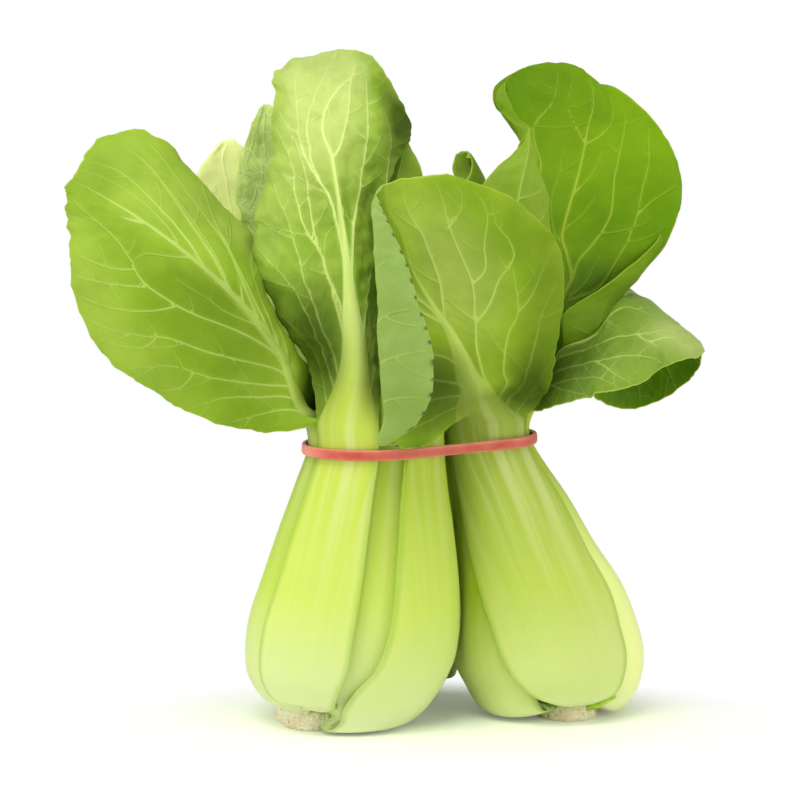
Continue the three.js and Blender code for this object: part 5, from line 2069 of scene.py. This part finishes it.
@dataclass(frozen=True)
class Studio:
    """A plain white sweep with soft light from above and both sides, and the camera."""

    elevation: float = 8.0
    distance: float = 1.0
    lens: float = 160.7
    aim: Point = (3.5, 0.0, 91.3)

    def sweep(self) -> bpy.types.Object:
        """Make the floor: white to the camera where it is open, and darker in the shadow.

        Returns:
            The floor object.
        """
        size = 6.0
        mesh = bpy.data.meshes.new("floor")
        corners = [(-size, -size, 0), (size, -size, 0), (size, size, 0), (-size, size, 0)]
        mesh.from_pydata(corners, [], [(0, 1, 2, 3)])
        material, nodes, shader = fresh_material("white_floor")
        shader.inputs["Roughness"].default_value = 1.0
        shader.inputs["Specular IOR Level"].default_value = 0.0
        shader.inputs["Emission Color"].default_value = (1, 1, 1, 1)
        seen = nodes.add("LightPath").outputs["Is Camera Ray"]
        spot = nodes.add("TexCoord").outputs["Object"]
        oval = nodes.add("Mapping", vector_type="TEXTURE")
        nodes.feed(oval.inputs["Vector"], spot)
        oval.inputs["Location"].default_value = (0.016, -0.012, 0.0)
        oval.inputs["Scale"].default_value = (1.0, 0.55, 1.0)
        distance = nodes.add("VectorMath", operation="LENGTH")
        nodes.feed(distance.inputs[0], oval.outputs[0])
        far = nodes.maths("MULTIPLY", nodes.step(distance.outputs["Value"], 0.05, 0.1), seen)
        # near the bunch the white floor gets a painted green tint of light passed on by the leaves
        pale = tint(242, 247, 226)
        nodes.feed(shader.inputs["Base Color"], nodes.blend(far, pale, (0.0, 0.0, 0.0)))
        glow = nodes.maths("MULTIPLY", seen, nodes.maths("MULTIPLY_ADD", far, 0.88, 0.12))
        nodes.feed(shader.inputs["Emission Strength"], glow)
        mesh.materials.append(material)
        floor = bpy.data.objects.new("floor", mesh)
        bpy.context.scene.collection.objects.link(floor)
        return floor

    def sky(self) -> None:
        """Light the bunch evenly from all round, and show white behind it."""
        world = bpy.data.worlds.new("white_room")
        bpy.context.scene.world = world
        world.use_nodes = True
        nodes = Tree(world.node_tree)
        background = world.node_tree.nodes["Background"]
        background.inputs["Color"].default_value = (1, 1, 1, 1)
        seen = nodes.add("LightPath").outputs["Is Camera Ray"]
        nodes.feed(background.inputs["Strength"], nodes.maths("MULTIPLY_ADD", seen, 0.5, 0.5))

    def lamp(self, name: str, place: Point, size: float, power: float) -> None:
        """Add a large soft lamp that looks at the middle of the bunch.

        Args:
            name: Name of the lamp.
            place: Where it hangs, in metres.
            size: Side of its square, in metres.
            power: Its power in watts.
        """
        light = bpy.data.lights.new(name, "AREA")
        light.size = size
        light.energy = power
        lamp = bpy.data.objects.new(name, light)
        lamp.location = place
        towards = Vector((0, 0, 0.1)) - Vector(place)
        lamp.rotation_euler = towards.to_track_quat("-Z", "Y").to_euler()
        bpy.context.scene.collection.objects.link(lamp)

    def camera(self) -> None:
        """Place the camera in front of the bunch, a little above its middle."""
        data = bpy.data.cameras.new("camera")
        data.lens = self.lens
        data.sensor_width = 36.0
        camera = bpy.data.objects.new("camera", data)
        aim = Vector(np.array(self.aim) * MM + SHIFT)
        tilt = math.radians(self.elevation)
        back = Vector((0, -math.cos(tilt), math.sin(tilt)))
        camera.location = aim + back * self.distance
        camera.rotation_euler = (-back).to_track_quat("-Z", "Y").to_euler()
        bpy.context.scene.collection.objects.link(camera)
        bpy.context.scene.camera = camera

    def build(self) -> None:
        """Set up the floor, the light and the camera."""
        self.sweep()
        self.sky()
        self.lamp("top_softbox", (-0.25, -0.45, 1.1), 0.7, 8.2)
        self.lamp("left_softbox", (-1.0, -0.7, 0.45), 0.6, 3.5)
        self.lamp("right_softbox", (1.1, -0.5, 0.4), 0.6, 3.6)
        self.camera()
        bpy.context.scene.view_settings.view_transform = "Standard"


# ------------------------------------------------------------------ the whole bunch


def main() -> None:
    """Build the bunch piece by piece and report the faces of each leaf."""
    logging.basicConfig(level=logging.INFO, format="%(message)s")
    groups = Groups()
    for head in (left_head(), right_head(), back_head()):
        for leaf in head:
            made = leaf.build(groups)
            LOG.info("%s: %d faces", made.name, len(made.data.polygons))
    cut = CutFinish().material(groups)
    for node, middle, half in (
        ("left_stem_base", (-20, -1.5), (11.2, 14)),
        ("right_stem_base", (51, 8.5), (9.2, 13)),
        ("back_stem_base", (2, 50), (9.1, 9.1)),
    ):
        StemBase(node, middle, half).build(cut)
    CutShoot().build()
    RubberBand().build(RubberFinish().material(groups))
    Studio().build()


if __name__ == "__main__":
    main()
